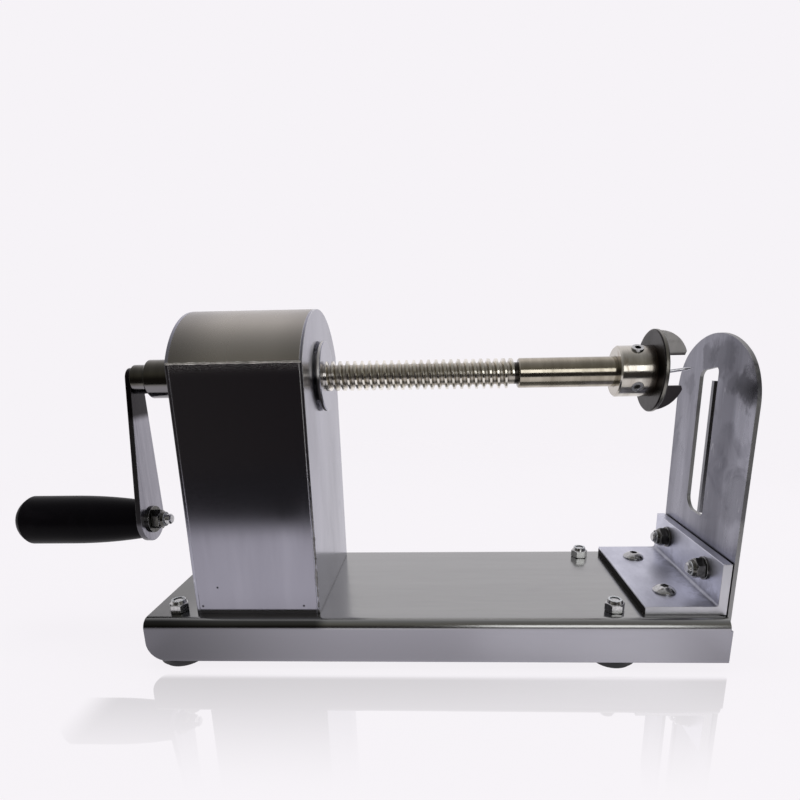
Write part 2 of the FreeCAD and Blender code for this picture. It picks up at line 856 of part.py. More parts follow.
# Lead screw
def make_lead_screw():
    """Shank, threaded length, groove and smooth rod in one piece, with a right-hand thread."""
    shank = thread_start - arm_left
    root = dim.thread_radius - dim.thread_depth
    rod_start = dim.thread_length + dim.groove_length
    rod_stop = rod_end - thread_start
    body = turned("lead_screw", [
        (-shank, 0),
        (-shank, dim.shank_radius),
        (0, dim.shank_radius),
        (0, root),
        (rod_start, root),
        (rod_start, dim.rod_radius - dim.screw_edge),
        (rod_start + dim.screw_edge, dim.rod_radius),
        (rod_stop - dim.screw_edge, dim.rod_radius),
        (rod_stop, dim.rod_radius - dim.screw_edge),
        (rod_stop, 0),
    ])
    sunk = root - dim.thread_root_overlap
    half_crest = dim.thread_crest / 2
    half_root = half_crest + (dim.thread_radius - sunk) * tangent(dim.thread_flank_angle)
    first_turn = half_root + dim.thread_runout
    tooth = new_sketch(body, "XZ_Plane", "thread_profile")
    draw_outline(tooth, [
        (first_turn - half_root, sunk),
        (first_turn + half_root, sunk),
        (first_turn + half_crest, dim.thread_radius),
        (first_turn - half_crest, dim.thread_radius),
    ])
    thread = body.newObject("PartDesign::AdditiveHelix", "thread")
    thread.Profile = tooth
    thread.ReferenceAxis = (origin_feature(body, "X_Axis"), [""])
    thread.Mode = "pitch-height-angle"
    bind(thread, "Pitch", dim.thread_pitch)
    bind(thread, "Height", dim.thread_length - first_turn * 2)
    doc.recompute()
    return place(body, thread_start, 0, axis_height)


def make_stop_spacer():
    """The loose ring between arm and bush that stops the feed."""
    bore = dim.shank_radius + dim.running_gap
    spacer = turned("stop_spacer", [
        (0, bore),
        (0, dim.spacer_radius - dim.spacer_edge),
        (dim.spacer_edge, dim.spacer_radius),
        (dim.spacer_length - dim.spacer_edge, dim.spacer_radius),
        (dim.spacer_length, dim.spacer_radius - dim.spacer_edge),
        (dim.spacer_length, bore),
    ])
    return place(spacer, spacer_left, 0, axis_height)


# Crank
def make_crank_arm():
    """A flat bar, wider at the handle, that leans a little to the front, with holes for screw and bolt."""
    body = new_body("crank_arm")
    outline = new_sketch(body, "YZ_Plane", "arm_outline")
    draw_belt(outline, (0, 0), (0, -dim.crank_radius), dim.arm_hub_radius, dim.arm_end_radius)
    draw_circle(outline, 0, 0, dim.shank_radius)
    draw_circle(outline, 0, -dim.crank_radius, bolt_hole_radius)
    pad(body, outline, "arm_bar", dim.arm_thick)
    return place(body, arm_left, 0, axis_height, -X_AXIS, dim.crank_lean_angle)


def make_grip():
    """The black grip: straight, then curving in towards the arm, with a stepped bore."""
    drop = dim.grip_radius - dim.grip_end_radius
    taper_radius = (dim.grip_taper * dim.grip_taper + drop * drop) / (drop * 2)
    length = dim.grip_length - dim.cap_height
    bore = dim.sleeve_radius + dim.running_gap
    grip = turned("grip", [
        (0, dim.cap_plug_radius),
        (0, dim.grip_radius),
        (length - dim.grip_taper, dim.grip_radius, taper_radius, -1),
        (length, dim.grip_end_radius),
        (length, bore),
        (dim.recess_depth, bore),
        (dim.recess_depth, dim.cap_plug_radius),
    ])
    return place(grip, grip_right - length, handle_side, handle_height)


def make_grip_cap():
    """The domed cap pressed into the grip's outer end."""
    crown = dim.cap_height - dim.cap_crown
    dome_radius = (dim.grip_radius * dim.grip_radius + crown * crown) / (crown * 2)
    cap = turned("grip_cap", [
        (0, 0, dome_radius, -1),
        (crown, dim.grip_radius),
        (dim.cap_height, dim.grip_radius),
        (dim.cap_height, dim.cap_plug_radius),
        (dim.cap_height + dim.cap_plug_length, dim.cap_plug_radius),
        (dim.cap_height + dim.cap_plug_length, 0),
    ])
    return place(cap, grip_right - dim.grip_length, handle_side, handle_height)


grip_seat = grip_right - dim.grip_length + dim.cap_height + dim.recess_depth - dim.grip_play


def make_grip_sleeve():
    """The steel tube that the grip turns on, clamped between bolt head and arm."""
    length = arm_left - grip_seat
    bore = dim.bolt_radius + dim.running_gap
    sleeve = turned("grip_sleeve", [
        (0, bore),
        (0, dim.sleeve_radius),
        (length, dim.sleeve_radius),
        (length, bore),
    ])
    return place(sleeve, grip_seat, handle_side, handle_height)


grip_washer_left = arm_right
grip_nut_left = grip_washer_left + dim.grip_washer_thick
grip_bolt_tip = grip_nut_left + nut_stack + dim.grip_bolt_show


def make_grip_bolt():
    """The long bolt through sleeve and arm."""
    length = grip_bolt_tip - grip_seat
    head = chamfered_hexagon("grip_bolt", dim.grip_head_across, dim.grip_head_height)
    shank = cylinder(
        "grip_bolt_shank", dim.bolt_radius, length - dim.bolt_chamfer, dim.grip_head_height
    )
    tip = cone(
        "grip_bolt_tip", dim.bolt_radius, dim.bolt_radius - dim.bolt_chamfer,
        dim.bolt_chamfer, dim.grip_head_height + length - dim.bolt_chamfer,
    )
    bolt = fuse("grip_bolt", [head, shank, tip])
    return place(bolt, grip_seat - dim.grip_head_height, handle_side, handle_height, Y_AXIS, 90)


def make_grip_nut():
    """The lock nut on the handle bolt."""
    return place(lock_nut("grip_nut", dim.nut_across), grip_nut_left, handle_side, handle_height, Y_AXIS, 90)


def make_grip_washer():
    """The washer between arm and nut."""
    item = washer("grip_washer", dim.grip_washer_radius, bolt_hole_radius, dim.grip_washer_thick)
    return place(item, grip_washer_left, handle_side, handle_height, Y_AXIS, 90)


# Potato holder
set_screw_x = collar_left + dim.collar_length / 2


def make_collar():
    """The collar on the rod's end, with two tapped holes for set screws."""
    bore = dim.rod_radius + dim.running_gap
    blank = turned("collar_blank", [
        (0, bore),
        (0, dim.collar_radius - dim.collar_edge),
        (dim.collar_edge, dim.collar_radius),
        (dim.collar_length, dim.collar_radius),
        (dim.collar_length, bore),
    ])
    place(blank, collar_left, 0, axis_height)
    holes = []
    for name, angle in (("upper", dim.set_upper_angle), ("lower", dim.set_lower_angle)):
        hole = cylinder(
            f"{name}_set_hole", dim.set_radius + dim.set_hole_gap, dim.collar_radius + dim.collar_edge
        )
        holes.append(place(hole, set_screw_x, 0, axis_height, X_AXIS, angle))
    collar = cut("holder_collar", blank, fuse("set_holes", holes))
    return collar


def make_set_screws():
    """Two socket set screws that bear on the rod."""
    screws = []
    start = dim.rod_radius + dim.running_gap
    for name, angle, length in (
        ("upper", dim.set_upper_angle, dim.set_long),
        ("lower", dim.set_lower_angle, dim.set_short),
    ):
        blank = cylinder(f"{name}_set_blank", dim.set_radius, length, start)
        socket = hexagon(
            f"{name}_set_socket", dim.set_socket_across, length, start + length - dim.set_socket_depth
        )
        screw = cut(f"{name}_set_screw", blank, socket)
        screws.append(place(screw, set_screw_x, 0, axis_height, X_AXIS, angle))
    return group("collar_set_screws", screws)


def make_disc():
    """The round disc that the potato's end bears on."""
    disc = turned("holder_disc", [
        (0, 0),
        (0, dim.disc_radius - dim.disc_edge),
        (dim.disc_edge, dim.disc_radius),
        (dim.disc_thick - dim.disc_edge, dim.disc_radius),
        (dim.disc_thick, dim.disc_radius - dim.disc_edge),
        (dim.disc_thick, 0),
    ])
    return place(disc, disc_left, 0, axis_height)


def make_fin(name, side):
    """One flat fin that stands on the disc and grips the potato: a quarter round with a blunt nose."""
    body = new_body(f"{name}_fin")
    sketch = new_sketch(body, "XZ_Plane", f"{name}_fin_outline", -dim.fin_thick / 2)
    rim = dim.disc_radius - dim.disc_edge
    drop = rim - dim.fin_tip_rise
    sweep_radius = (dim.fin_reach * dim.fin_reach + drop * drop) / (drop * 2)
    draw_outline(sketch, [
        (0, dim.fin_gap * side),
        (dim.fin_reach - dim.fin_nose, dim.fin_gap * side),
        (dim.fin_reach, dim.fin_tip_rise * side, sweep_radius, side),
        (0, rim * side),
    ])
    pad(body, sketch, f"{name}_fin_sheet", dim.fin_thick)
    return place(body, disc_right, 0, axis_height, X_AXIS, dim.fin_swing_angle)


def make_needle():
    """The thin pin at the centre that spikes the potato, leaning up a little."""
    length = dim.needle_length
    root = dim.needle_radius * 2
    shank = cylinder("needle_shank", dim.needle_radius, length - dim.needle_point + root, -root)
    point = cone("needle_point", dim.needle_radius, 0, dim.needle_point, length - dim.needle_point)
    pin = fuse("needle_pin", [shank, point])
    lean = Size(90.0, "90") - dim.needle_tilt
    place(pin, disc_right, 0, axis_height - dim.needle_drop, Y_AXIS, lean)
    behind = block("needle_trim", dim.disc_thick, dim.disc_radius, dim.disc_radius)
    place(behind, disc_left, -dim.disc_radius / 2, axis_height - dim.disc_radius / 2)
    needle = cut("holder_needle", pin, behind)
    return needle


# Cutter plate and blade
def make_cutter_plate():
    """The upright plate: a three-centred arch with a long slot whose ends are rounded unevenly."""
    body = new_body("cutter_plate")
    half = dim.plate_width / 2
    apex = tray_top + dim.plate_apex
    top_centre = apex - dim.plate_top_radius
    side_centre_y = half - dim.plate_shoulder_radius
    between = dim.plate_top_radius - dim.plate_shoulder_radius
    side_centre_z = top_centre + square_root(between * between - side_centre_y * side_centre_y)
    stretch = dim.plate_top_radius / between
    joint_y = side_centre_y * stretch
    joint_z = top_centre + (side_centre_z - top_centre) * stretch
    outline = new_sketch(body, "YZ_Plane", "plate_outline", plate_left)
    draw_outline(outline, [
        (-half, tray_top - dim.plate_drop),
        (half, tray_top - dim.plate_drop),
        (half, side_centre_z, dim.plate_shoulder_radius, 1),
        (joint_y, joint_z, dim.plate_top_radius, 1),
        (-joint_y, joint_z, dim.plate_shoulder_radius, 1),
        (-half, side_centre_z),
    ])
    pad(body, outline, "plate_sheet", dim.plate_thick)
    slot = new_sketch(body, "YZ_Plane", "slot_outline", plate_left)
    near = dim.slot_offset - dim.slot_width / 2
    far = dim.slot_offset + dim.slot_width / 2
    slot_top = axis_height + dim.slot_over_axis
    slot_low = slot_top - dim.slot_length
    far_top = slot_top - dim.slot_top_slope
    draw_outline(slot, [
        (near + dim.slot_near_round, slot_low),
        (far - dim.slot_low_round, slot_low, dim.slot_low_round, 1),
        (far, slot_low + dim.slot_low_round),
        (far, far_top - dim.slot_far_round, dim.slot_far_round, 1),
        (far - dim.slot_far_round, far_top),
        (near + dim.slot_near_round, slot_top, dim.slot_near_round, 1),
        (near, slot_top - dim.slot_near_round),
        (near, slot_low + dim.slot_near_round, dim.slot_near_round, 1),
    ])
    cut_through(body, slot, "slot_cut")
    holes = new_sketch(body, "YZ_Plane", "plate_holes", plate_left)
    for side in (-1, 1):
        draw_circle(holes, dim.bracket_bolt_spread / 2 * side, bracket_bolt_z, bolt_hole_radius)
    cut_through(body, holes, "plate_holes_cut")
    return body


def make_blade():
    """The blade: a flat strip behind the plate that steps forward through the slot to a bevelled edge."""
    body = new_body("cutter_blade")
    top = axis_height - dim.blade_below_axis
    slot_bottom = axis_height + dim.slot_over_axis - dim.slot_length
    low = slot_bottom + dim.blade_foot_gap
    slot_near = dim.slot_offset - dim.slot_width / 2
    edge = dim.blade_edge_offset
    back = plate_right + dim.blade_thick
    front = plate_left - dim.blade_thick / 2
    heel = slot_near + dim.blade_side_gap
    profile = new_sketch(body, "XY_Plane", "blade_profile", low)
    draw_outline(profile, [
        (plate_right, edge - dim.blade_width),
        (back, edge - dim.blade_width),
        (back, heel + dim.blade_thick),
        (front + dim.blade_thick, edge - dim.blade_bevel),
        (front, edge),
        (front, edge - dim.blade_bevel),
        (plate_right, heel),
    ])
    pad(body, profile, "blade_strip", top - low)
    return body


# Angle bracket
def make_bracket():
    """The thick angle that bolts the plate to the tray."""
    body = new_body("angle_bracket")
    profile = new_sketch(body, "XZ_Plane", "bracket_profile", -dim.bracket_length / 2)
    inner = bracket_corner - dim.bracket_thick
    floor = tray_top + dim.bracket_thick
    draw_outline(profile, [
        (bracket_left, tray_top),
        (bracket_corner, tray_top),
        (bracket_corner, tray_top + dim.bracket_rise),
        (inner, tray_top + dim.bracket_rise),
        (inner, floor + dim.bracket_inner_round, dim.bracket_inner_round, -1),
        (inner - dim.bracket_inner_round, floor),
        (bracket_left, floor),
    ])
    pad(body, profile, "bracket_angle", dim.bracket_length)
    upright = new_sketch(body, "YZ_Plane", "upright_holes", inner)
    for side in (-1, 1):
        draw_circle(upright, dim.bracket_bolt_spread / 2 * side, bracket_bolt_z, bolt_hole_radius)
    cut_through(body, upright, "upright_holes_cut")
    flat = new_sketch(body, "XY_Plane", "foot_holes", tray_top)
    for across, deep in bracket_screw_places:
        draw_circle(flat, across, deep, bolt_hole_radius)
    cut_through(body, flat, "foot_holes_cut")
    return body


def make_bracket_fasteners():
    """Button head screws down through bracket and tray, with washers and lock nuts below."""
    screws, washers, nuts = [], [], []
    length = dim.bracket_thick + dim.tray_sheet + dim.washer_thick + nut_stack + dim.bolt_show
    for number, (across, deep) in enumerate(bracket_screw_places, start=1):
        screw = button_screw(f"bracket_screw_{number}", length)
        screws.append(place(screw, across, deep, tray_top + dim.bracket_thick))
        ring = m6_washer(f"bracket_washer_{number}")
        washers.append(place(ring, across, deep, tray_under - dim.washer_thick))
        nut = lock_nut(f"bracket_nut_{number}", dim.nut_across)
        nuts.append(place(nut, across, deep, tray_under - dim.washer_thick, X_AXIS, 180))
    return [
        group("bracket_screws", screws),
        group("bracket_washers", washers),
        group("bracket_lock_nuts", nuts),
    ]


def make_plate_fasteners():
    """Button head screws through plate, shims and bracket, with washers and lock nuts."""
    screws, shims, washers, nuts = [], [], [], []
    leg_face = bracket_corner - dim.bracket_thick
    length = plate_right - leg_face + dim.washer_thick + nut_stack + dim.bolt_show
    for number, side in enumerate((-1, 1), start=1):
        deep = dim.bracket_bolt_spread / 2 * side
        screw = button_screw(f"plate_screw_{number}", length)
        screws.append(place(screw, plate_right, deep, bracket_bolt_z, Y_AXIS, 90))
        shim = washer(f"plate_shim_{number}", dim.washer_radius, bolt_hole_radius, dim.bracket_gap)
        shims.append(place(shim, plate_left, deep, bracket_bolt_z, Y_AXIS, -90))
        ring = m6_washer(f"plate_washer_{number}")
        washers.append(place(ring, leg_face, deep, bracket_bolt_z, Y_AXIS, -90))
        nut = lock_nut(f"plate_nut_{number}", dim.nut_across)
        nuts.append(place(nut, leg_face - dim.washer_thick, deep, bracket_bolt_z, Y_AXIS, -90))
    return [
        group("plate_screws", screws),
        group("plate_shims", shims),
        group("plate_washers", washers),
        group("plate_lock_nuts", nuts),
    ]


# All sub-parts
def build_all():
    """Makes every sub-part and returns them in a list."""
    parts = [make_tray()]
    parts += [make_foot(name, *where) for name, where in foot_places.items()]
    parts += make_foot_fasteners()
    parts += [
        make_housing_wrap(),
        make_end_plate("housing_left_plate", housing_left, dim.bush_radius),
        make_end_plate("housing_right_plate", housing_right - dim.housing_sheet, dim.nut_barrel_radius),
        make_housing_tabs(),
        make_housing_screws(),
        make_guide_bush(),
        make_feed_nut(),
        make_stop_spacer(),
        make_lead_screw(),
        make_crank_arm(),
        make_grip_sleeve(),
        make_grip_bolt(),
        make_grip_washer(),
        make_grip_nut(),
        make_grip(),
        make_grip_cap(),
        make_collar(),
        make_set_screws(),
        make_disc(),
        group("holder_fins", [make_fin("upper", 1), make_fin("lower", -1)]),
        make_needle(),
        make_cutter_plate(),
        make_blade(),
        make_bracket(),
    ]
    parts += make_bracket_fasteners()
    parts += make_plate_fasteners()
    return parts


def check_document():
    """Stops with a message if any object of the document failed."""
    for item in doc.Objects:
        if "Invalid" in item.State or "Error" in item.State:
            raise RuntimeError(f"{item.Label} is {item.State}")


def write_parts(parts):
    """Checks each sub-part's shape and writes it to its own file."""
    os.makedirs("parts", exist_ok=True)
    for item in parts:
        shape = item.Shape
        if shape.isNull() or not shape.isValid() or not shape.Solids:
            raise RuntimeError(f"{item.Label} has no sound solid")
        shape.exportStep(os.path.join("parts", f"{item.Label}.step"))
        print(f"{item.Label}: {len(shape.Solids)} solid(s), {shape.Volume:.1f} mm3")


sub_parts = build_all()
doc.recompute()
check_document()
write_parts(sub_parts)
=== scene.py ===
import math

import bmesh
import bpy
from mathutils import Matrix, Vector, noise


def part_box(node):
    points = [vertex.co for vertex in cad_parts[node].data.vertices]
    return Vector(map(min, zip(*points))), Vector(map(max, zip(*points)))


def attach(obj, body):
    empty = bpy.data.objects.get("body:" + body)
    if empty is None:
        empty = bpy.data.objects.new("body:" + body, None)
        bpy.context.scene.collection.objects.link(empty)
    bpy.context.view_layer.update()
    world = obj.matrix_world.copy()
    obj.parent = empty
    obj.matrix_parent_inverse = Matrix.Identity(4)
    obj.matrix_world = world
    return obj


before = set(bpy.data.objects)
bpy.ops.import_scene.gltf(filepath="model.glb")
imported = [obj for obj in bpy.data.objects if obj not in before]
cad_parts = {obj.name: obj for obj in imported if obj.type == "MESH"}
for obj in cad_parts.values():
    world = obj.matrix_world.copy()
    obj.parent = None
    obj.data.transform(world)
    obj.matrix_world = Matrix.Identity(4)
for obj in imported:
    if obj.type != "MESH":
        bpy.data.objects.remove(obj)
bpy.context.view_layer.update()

mm = 0.001


# small helpers for node trees
def put(tree, kind, inputs=None, **settings):
    node = tree.nodes.new("ShaderNode" + kind)
    for name, value in settings.items():
        setattr(node, name, value)
    for name, value in (inputs or {}).items():
        feed(tree, node.inputs[name], value)
    return node


def feed(tree, socket, value):
    if isinstance(value, bpy.types.NodeSocket):
        tree.links.new(value, socket)
    else:
        socket.default_value = value


def maths(tree, operation, first, second=0.0, clamp=False):
    node = put(tree, "Math", {0: first, 1: second}, operation=operation, use_clamp=clamp)
    return node.outputs[0]


def remap(tree, value, fromLow, fromHigh, toLow=0.0, toHigh=1.0, smooth=True):
    node = put(
        tree, "MapRange",
        {"Value": value, "From Min": fromLow, "From Max": fromHigh, "To Min": toLow, "To Max": toHigh},
        interpolation_type="SMOOTHSTEP" if smooth else "LINEAR",
    )
    return node.outputs["Result"]


def blendColours(tree, factor, first, second, mode="MIX"):
    node = put(tree, "Mix", data_type="RGBA", blend_type=mode)
    for number, value in ((0, factor), (6, first), (7, second)):
        feed(tree, node.inputs[number], value)
    return node.outputs[2]


def rgb(red, green, blue):
    return (red, green, blue, 1.0)


# effects that several finishes share
def newGroup(name, inputs, outputs):
    group = bpy.data.node_groups.new(name, "ShaderNodeTree")
    for label, kind, value in inputs:
        socket = group.interface.new_socket(label, in_out="INPUT", socket_type="NodeSocket" + kind)
        if value is not None:
            socket.default_value = value
    for label, kind in outputs:
        group.interface.new_socket(label, in_out="OUTPUT", socket_type="NodeSocket" + kind)
    return group, group.nodes.new("NodeGroupInput").outputs, group.nodes.new("NodeGroupOutput").inputs


def makeBrushedGrain():
    group, take, give = newGroup(
        "brushedGrain",
        [("Coordinates", "Vector", None), ("Stretch", "Vector", (1, 1, 1)), ("Fineness", "Float", 400.0),
         ("Clouding", "Float", 0.4)],
        [("Streaks", "Float"), ("Height", "Float")],
    )
    drawn = put(group, "VectorMath", {0: take["Coordinates"], 1: take["Stretch"]}, operation="MULTIPLY")
    fine = put(group, "TexNoise", {
        "Vector": drawn.outputs[0], "Scale": take["Fineness"], "Detail": 5.0, "Roughness": 0.7,
    })
    broadScale = maths(group, "MULTIPLY", take["Fineness"], 0.11)
    broad = put(group, "TexNoise", {
        "Vector": drawn.outputs[0], "Scale": broadScale, "Detail": 3.0, "Roughness": 0.6,
    })
    mixed = put(group, "Mix", {"Factor": take["Clouding"], "A": fine.outputs["Fac"], "B": broad.outputs["Fac"]})
    group.links.new(remap(group, mixed.outputs[0], 0.36, 0.64, smooth=False), give["Streaks"])
    group.links.new(mixed.outputs[0], give["Height"])
    return group


def makeSoftEdge():
    group, take, give = newGroup(
        "softEdge",
        [("Radius", "Float", 0.0004), ("Gain", "Float", 6.0)],
        [("WearAndHighlight", "Float"), ("Normal", "Vector")],
    )
    rounded = put(group, "Bevel", {"Radius": take["Radius"]}, samples=6)
    flat = put(group, "NewGeometry")
    likeness = put(group, "VectorMath", {0: rounded.outputs[0], 1: flat.outputs["Normal"]}, operation="DOT_PRODUCT")
    bend = maths(group, "SUBTRACT", 1.0, likeness.outputs["Value"])
    group.links.new(maths(group, "MULTIPLY", bend, take["Gain"], clamp=True), give["WearAndHighlight"])
    group.links.new(rounded.outputs[0], give["Normal"])
    return group


def makeHandling():
    group, take, give = newGroup(
        "handling",
        [("Coordinates", "Vector", None), ("Scale", "Float", 30.0), ("Cover", "Float", 0.5)],
        [("Marks", "Float")],
    )
    cloud = put(group, "TexNoise", {
        "Vector": take["Coordinates"], "Scale": take["Scale"], "Detail": 4.0, "Roughness": 0.62,
        "Distortion": 0.8,
    })
    low = maths(group, "SUBTRACT", 0.78, maths(group, "MULTIPLY", take["Cover"], 0.4))
    high = maths(group, "ADD", low, 0.22)
    group.links.new(remap(group, cloud.outputs["Fac"], low, high), give["Marks"])
    return group


def makeScratches():
    group, take, give = newGroup(
        "scratches",
        [("Coordinates", "Vector", None), ("Stretch", "Vector", (1, 1, 1)), ("Scale", "Float", 300.0),
         ("Cover", "Float", 0.3)],
        [("Lines", "Float")],
    )
    drawn = put(group, "VectorMath", {0: take["Coordinates"], 1: take["Stretch"]}, operation="MULTIPLY")
    lines = put(group, "TexNoise", {
        "Vector": drawn.outputs[0], "Scale": take["Scale"], "Detail": 1.0, "Roughness": 0.4,
    })
    offset = maths(group, "ABSOLUTE", maths(group, "SUBTRACT", lines.outputs["Fac"], 0.5))
    thin = remap(group, offset, 0.0, 0.010, 1.0, 0.0)
    patches = put(group, "TexNoise", {
        "Vector": take["Coordinates"], "Scale": maths(group, "MULTIPLY", take["Scale"], 0.2), "Detail": 2.0,
    })
    edge = maths(group, "SUBTRACT", 0.75, maths(group, "MULTIPLY", take["Cover"], 0.35))
    shown = remap(group, patches.outputs["Fac"], edge, maths(group, "ADD", edge, 0.08))
    group.links.new(maths(group, "MULTIPLY", thin, shown), give["Lines"])
    return group


def makeSpecks():
    group, take, give = newGroup(
        "specks",
        [("Coordinates", "Vector", None), ("Scale", "Float", 90.0), ("Size", "Float", 0.12),
         ("Share", "Float", 0.1)],
        [("Dots", "Float")],
    )
    cells = put(group, "TexVoronoi", {"Vector": take["Coordinates"], "Scale": take["Scale"]})
    soft = maths(group, "MULTIPLY", take["Size"], 1.5)
    near = remap(group, cells.outputs["Distance"], take["Size"], soft, 1.0, 0.0)
    pick = put(group, "SeparateColor", {0: cells.outputs["Color"]})
    chosen = maths(group, "LESS_THAN", pick.outputs[0], take["Share"])
    group.links.new(maths(group, "MULTIPLY", near, chosen), give["Dots"])
    return group


def makeCreviceGrimeAndShade():
    # grime and painted shade: darker where ambient occlusion finds a crevice
    group, take, give = newGroup(
        "creviceGrimeAndShade",
        [("Reach", "Float", 0.003), ("Gain", "Float", 1.0)],
        [("GrimeAndShade", "Float")],
    )
    clear = put(group, "AmbientOcclusion", {"Distance": take["Reach"]}, samples=8)
    closed = maths(group, "SUBTRACT", 1.0, clear.outputs["AO"])
    deep = remap(group, closed, 0.25, 0.85)
    group.links.new(maths(group, "MULTIPLY", deep, take["Gain"], clamp=True), give["GrimeAndShade"])
    return group


def makeCutEdge():
    # faces whose normal leaves the sheet's own direction
    group, take, give = newGroup("cutEdge", [("Axis", "Vector", (1, 0, 0))], [("Mask", "Float")])
    flat = put(group, "NewGeometry")
    along = put(group, "VectorMath", {0: flat.outputs["Normal"], 1: take["Axis"]}, operation="DOT_PRODUCT")
    share = maths(group, "ABSOLUTE", along.outputs["Value"])
    group.links.new(maths(group, "LESS_THAN", share, 0.5), give["Mask"])
    return group


def makeRoundBlot():
    # a small round blot about one point
    group, take, give = newGroup(
        "roundBlot", [("Coordinates", "Vector", None), ("Centre", "Vector", (0, 0, 0)), ("Radius", "Float", 0.001)],
        [("Blot", "Float")],
    )
    away = put(group, "VectorMath", {0: take["Coordinates"], 1: take["Centre"]}, operation="DISTANCE")
    inner = maths(group, "MULTIPLY", take["Radius"], 0.5)
    blot = put(group, "MapRange", {
        "Value": away.outputs["Value"], "From Min": inner, "From Max": take["Radius"], "To Min": 1.0, "To Max": 0.0,
    }, interpolation_type="SMOOTHSTEP")
    group.links.new(blot.outputs["Result"], give["Blot"])
    return group


brushedGrain = makeBrushedGrain()
creviceGrimeAndShade = makeCreviceGrimeAndShade()
cutEdge = makeCutEdge()
roundBlot = makeRoundBlot()
softEdge = makeSoftEdge()
handling = makeHandling()
scratches = makeScratches()
specks = makeSpecks()
print("shared effects ready")


def useGroup(tree, group, inputs):
    node = tree.nodes.new("ShaderNodeGroup")
    node.node_tree = group
    for name, value in inputs.items():
        feed(tree, node.inputs[name], value)
    return node.outputs


# finishes
steelBase = {
    "light": rgb(0.52, 0.52, 0.55),
    "dark": rgb(0.34, 0.34, 0.37),
    "stretch": (1.0, 1.0, 0.04),
    "fineness": 900.0,
    "clouding": 0.4,
    "smooth": 0.2,
    "dull": 0.36,
    "depth": 0.05,
    "markScale": 28.0,
    "markCover": 0.45,
    "markColour": rgb(0.30, 0.29, 0.31),
    "markStrength": 0.35,
    "scratchStretch": (1.0, 1.0, 0.1),
    "scratchScale": 260.0,
    "scratchCover": 0.3,
    "scratchStrength": 0.4,
    "speckScale": 60.0,
    "speckSize": 0.06,
    "speckShare": 0.0,
    "edgeRadius": 0.0004,
    "edgeGain": 5.0,
    "edgeColour": rgb(0.80, 0.80, 0.82),
    "edgeStrength": 0.7,
    "grimeAndShadeReach": 0.003,
    "grimeAndShadeGain": 0.7,
    "grimeAndShadeColour": rgb(0.05, 0.045, 0.045),
    "edgeMetalDrop": 0.35,
    "edgeWhere": (),
    "cutAxis": None,
    "cutColour": rgb(0.46, 0.45, 0.42),
    "cutRough": 0.42,
}


def newMaterial(name):
    material = bpy.data.materials.new(name)
    material.use_nodes = True
    tree = material.node_tree
    tree.nodes.clear()
    shader = put(tree, "BsdfPrincipled")
    out = put(tree, "OutputMaterial")
    tree.links.new(shader.outputs[0], out.inputs["Surface"])
    place = put(tree, "TexCoord").outputs["Object"]
    return material, tree, shader, place


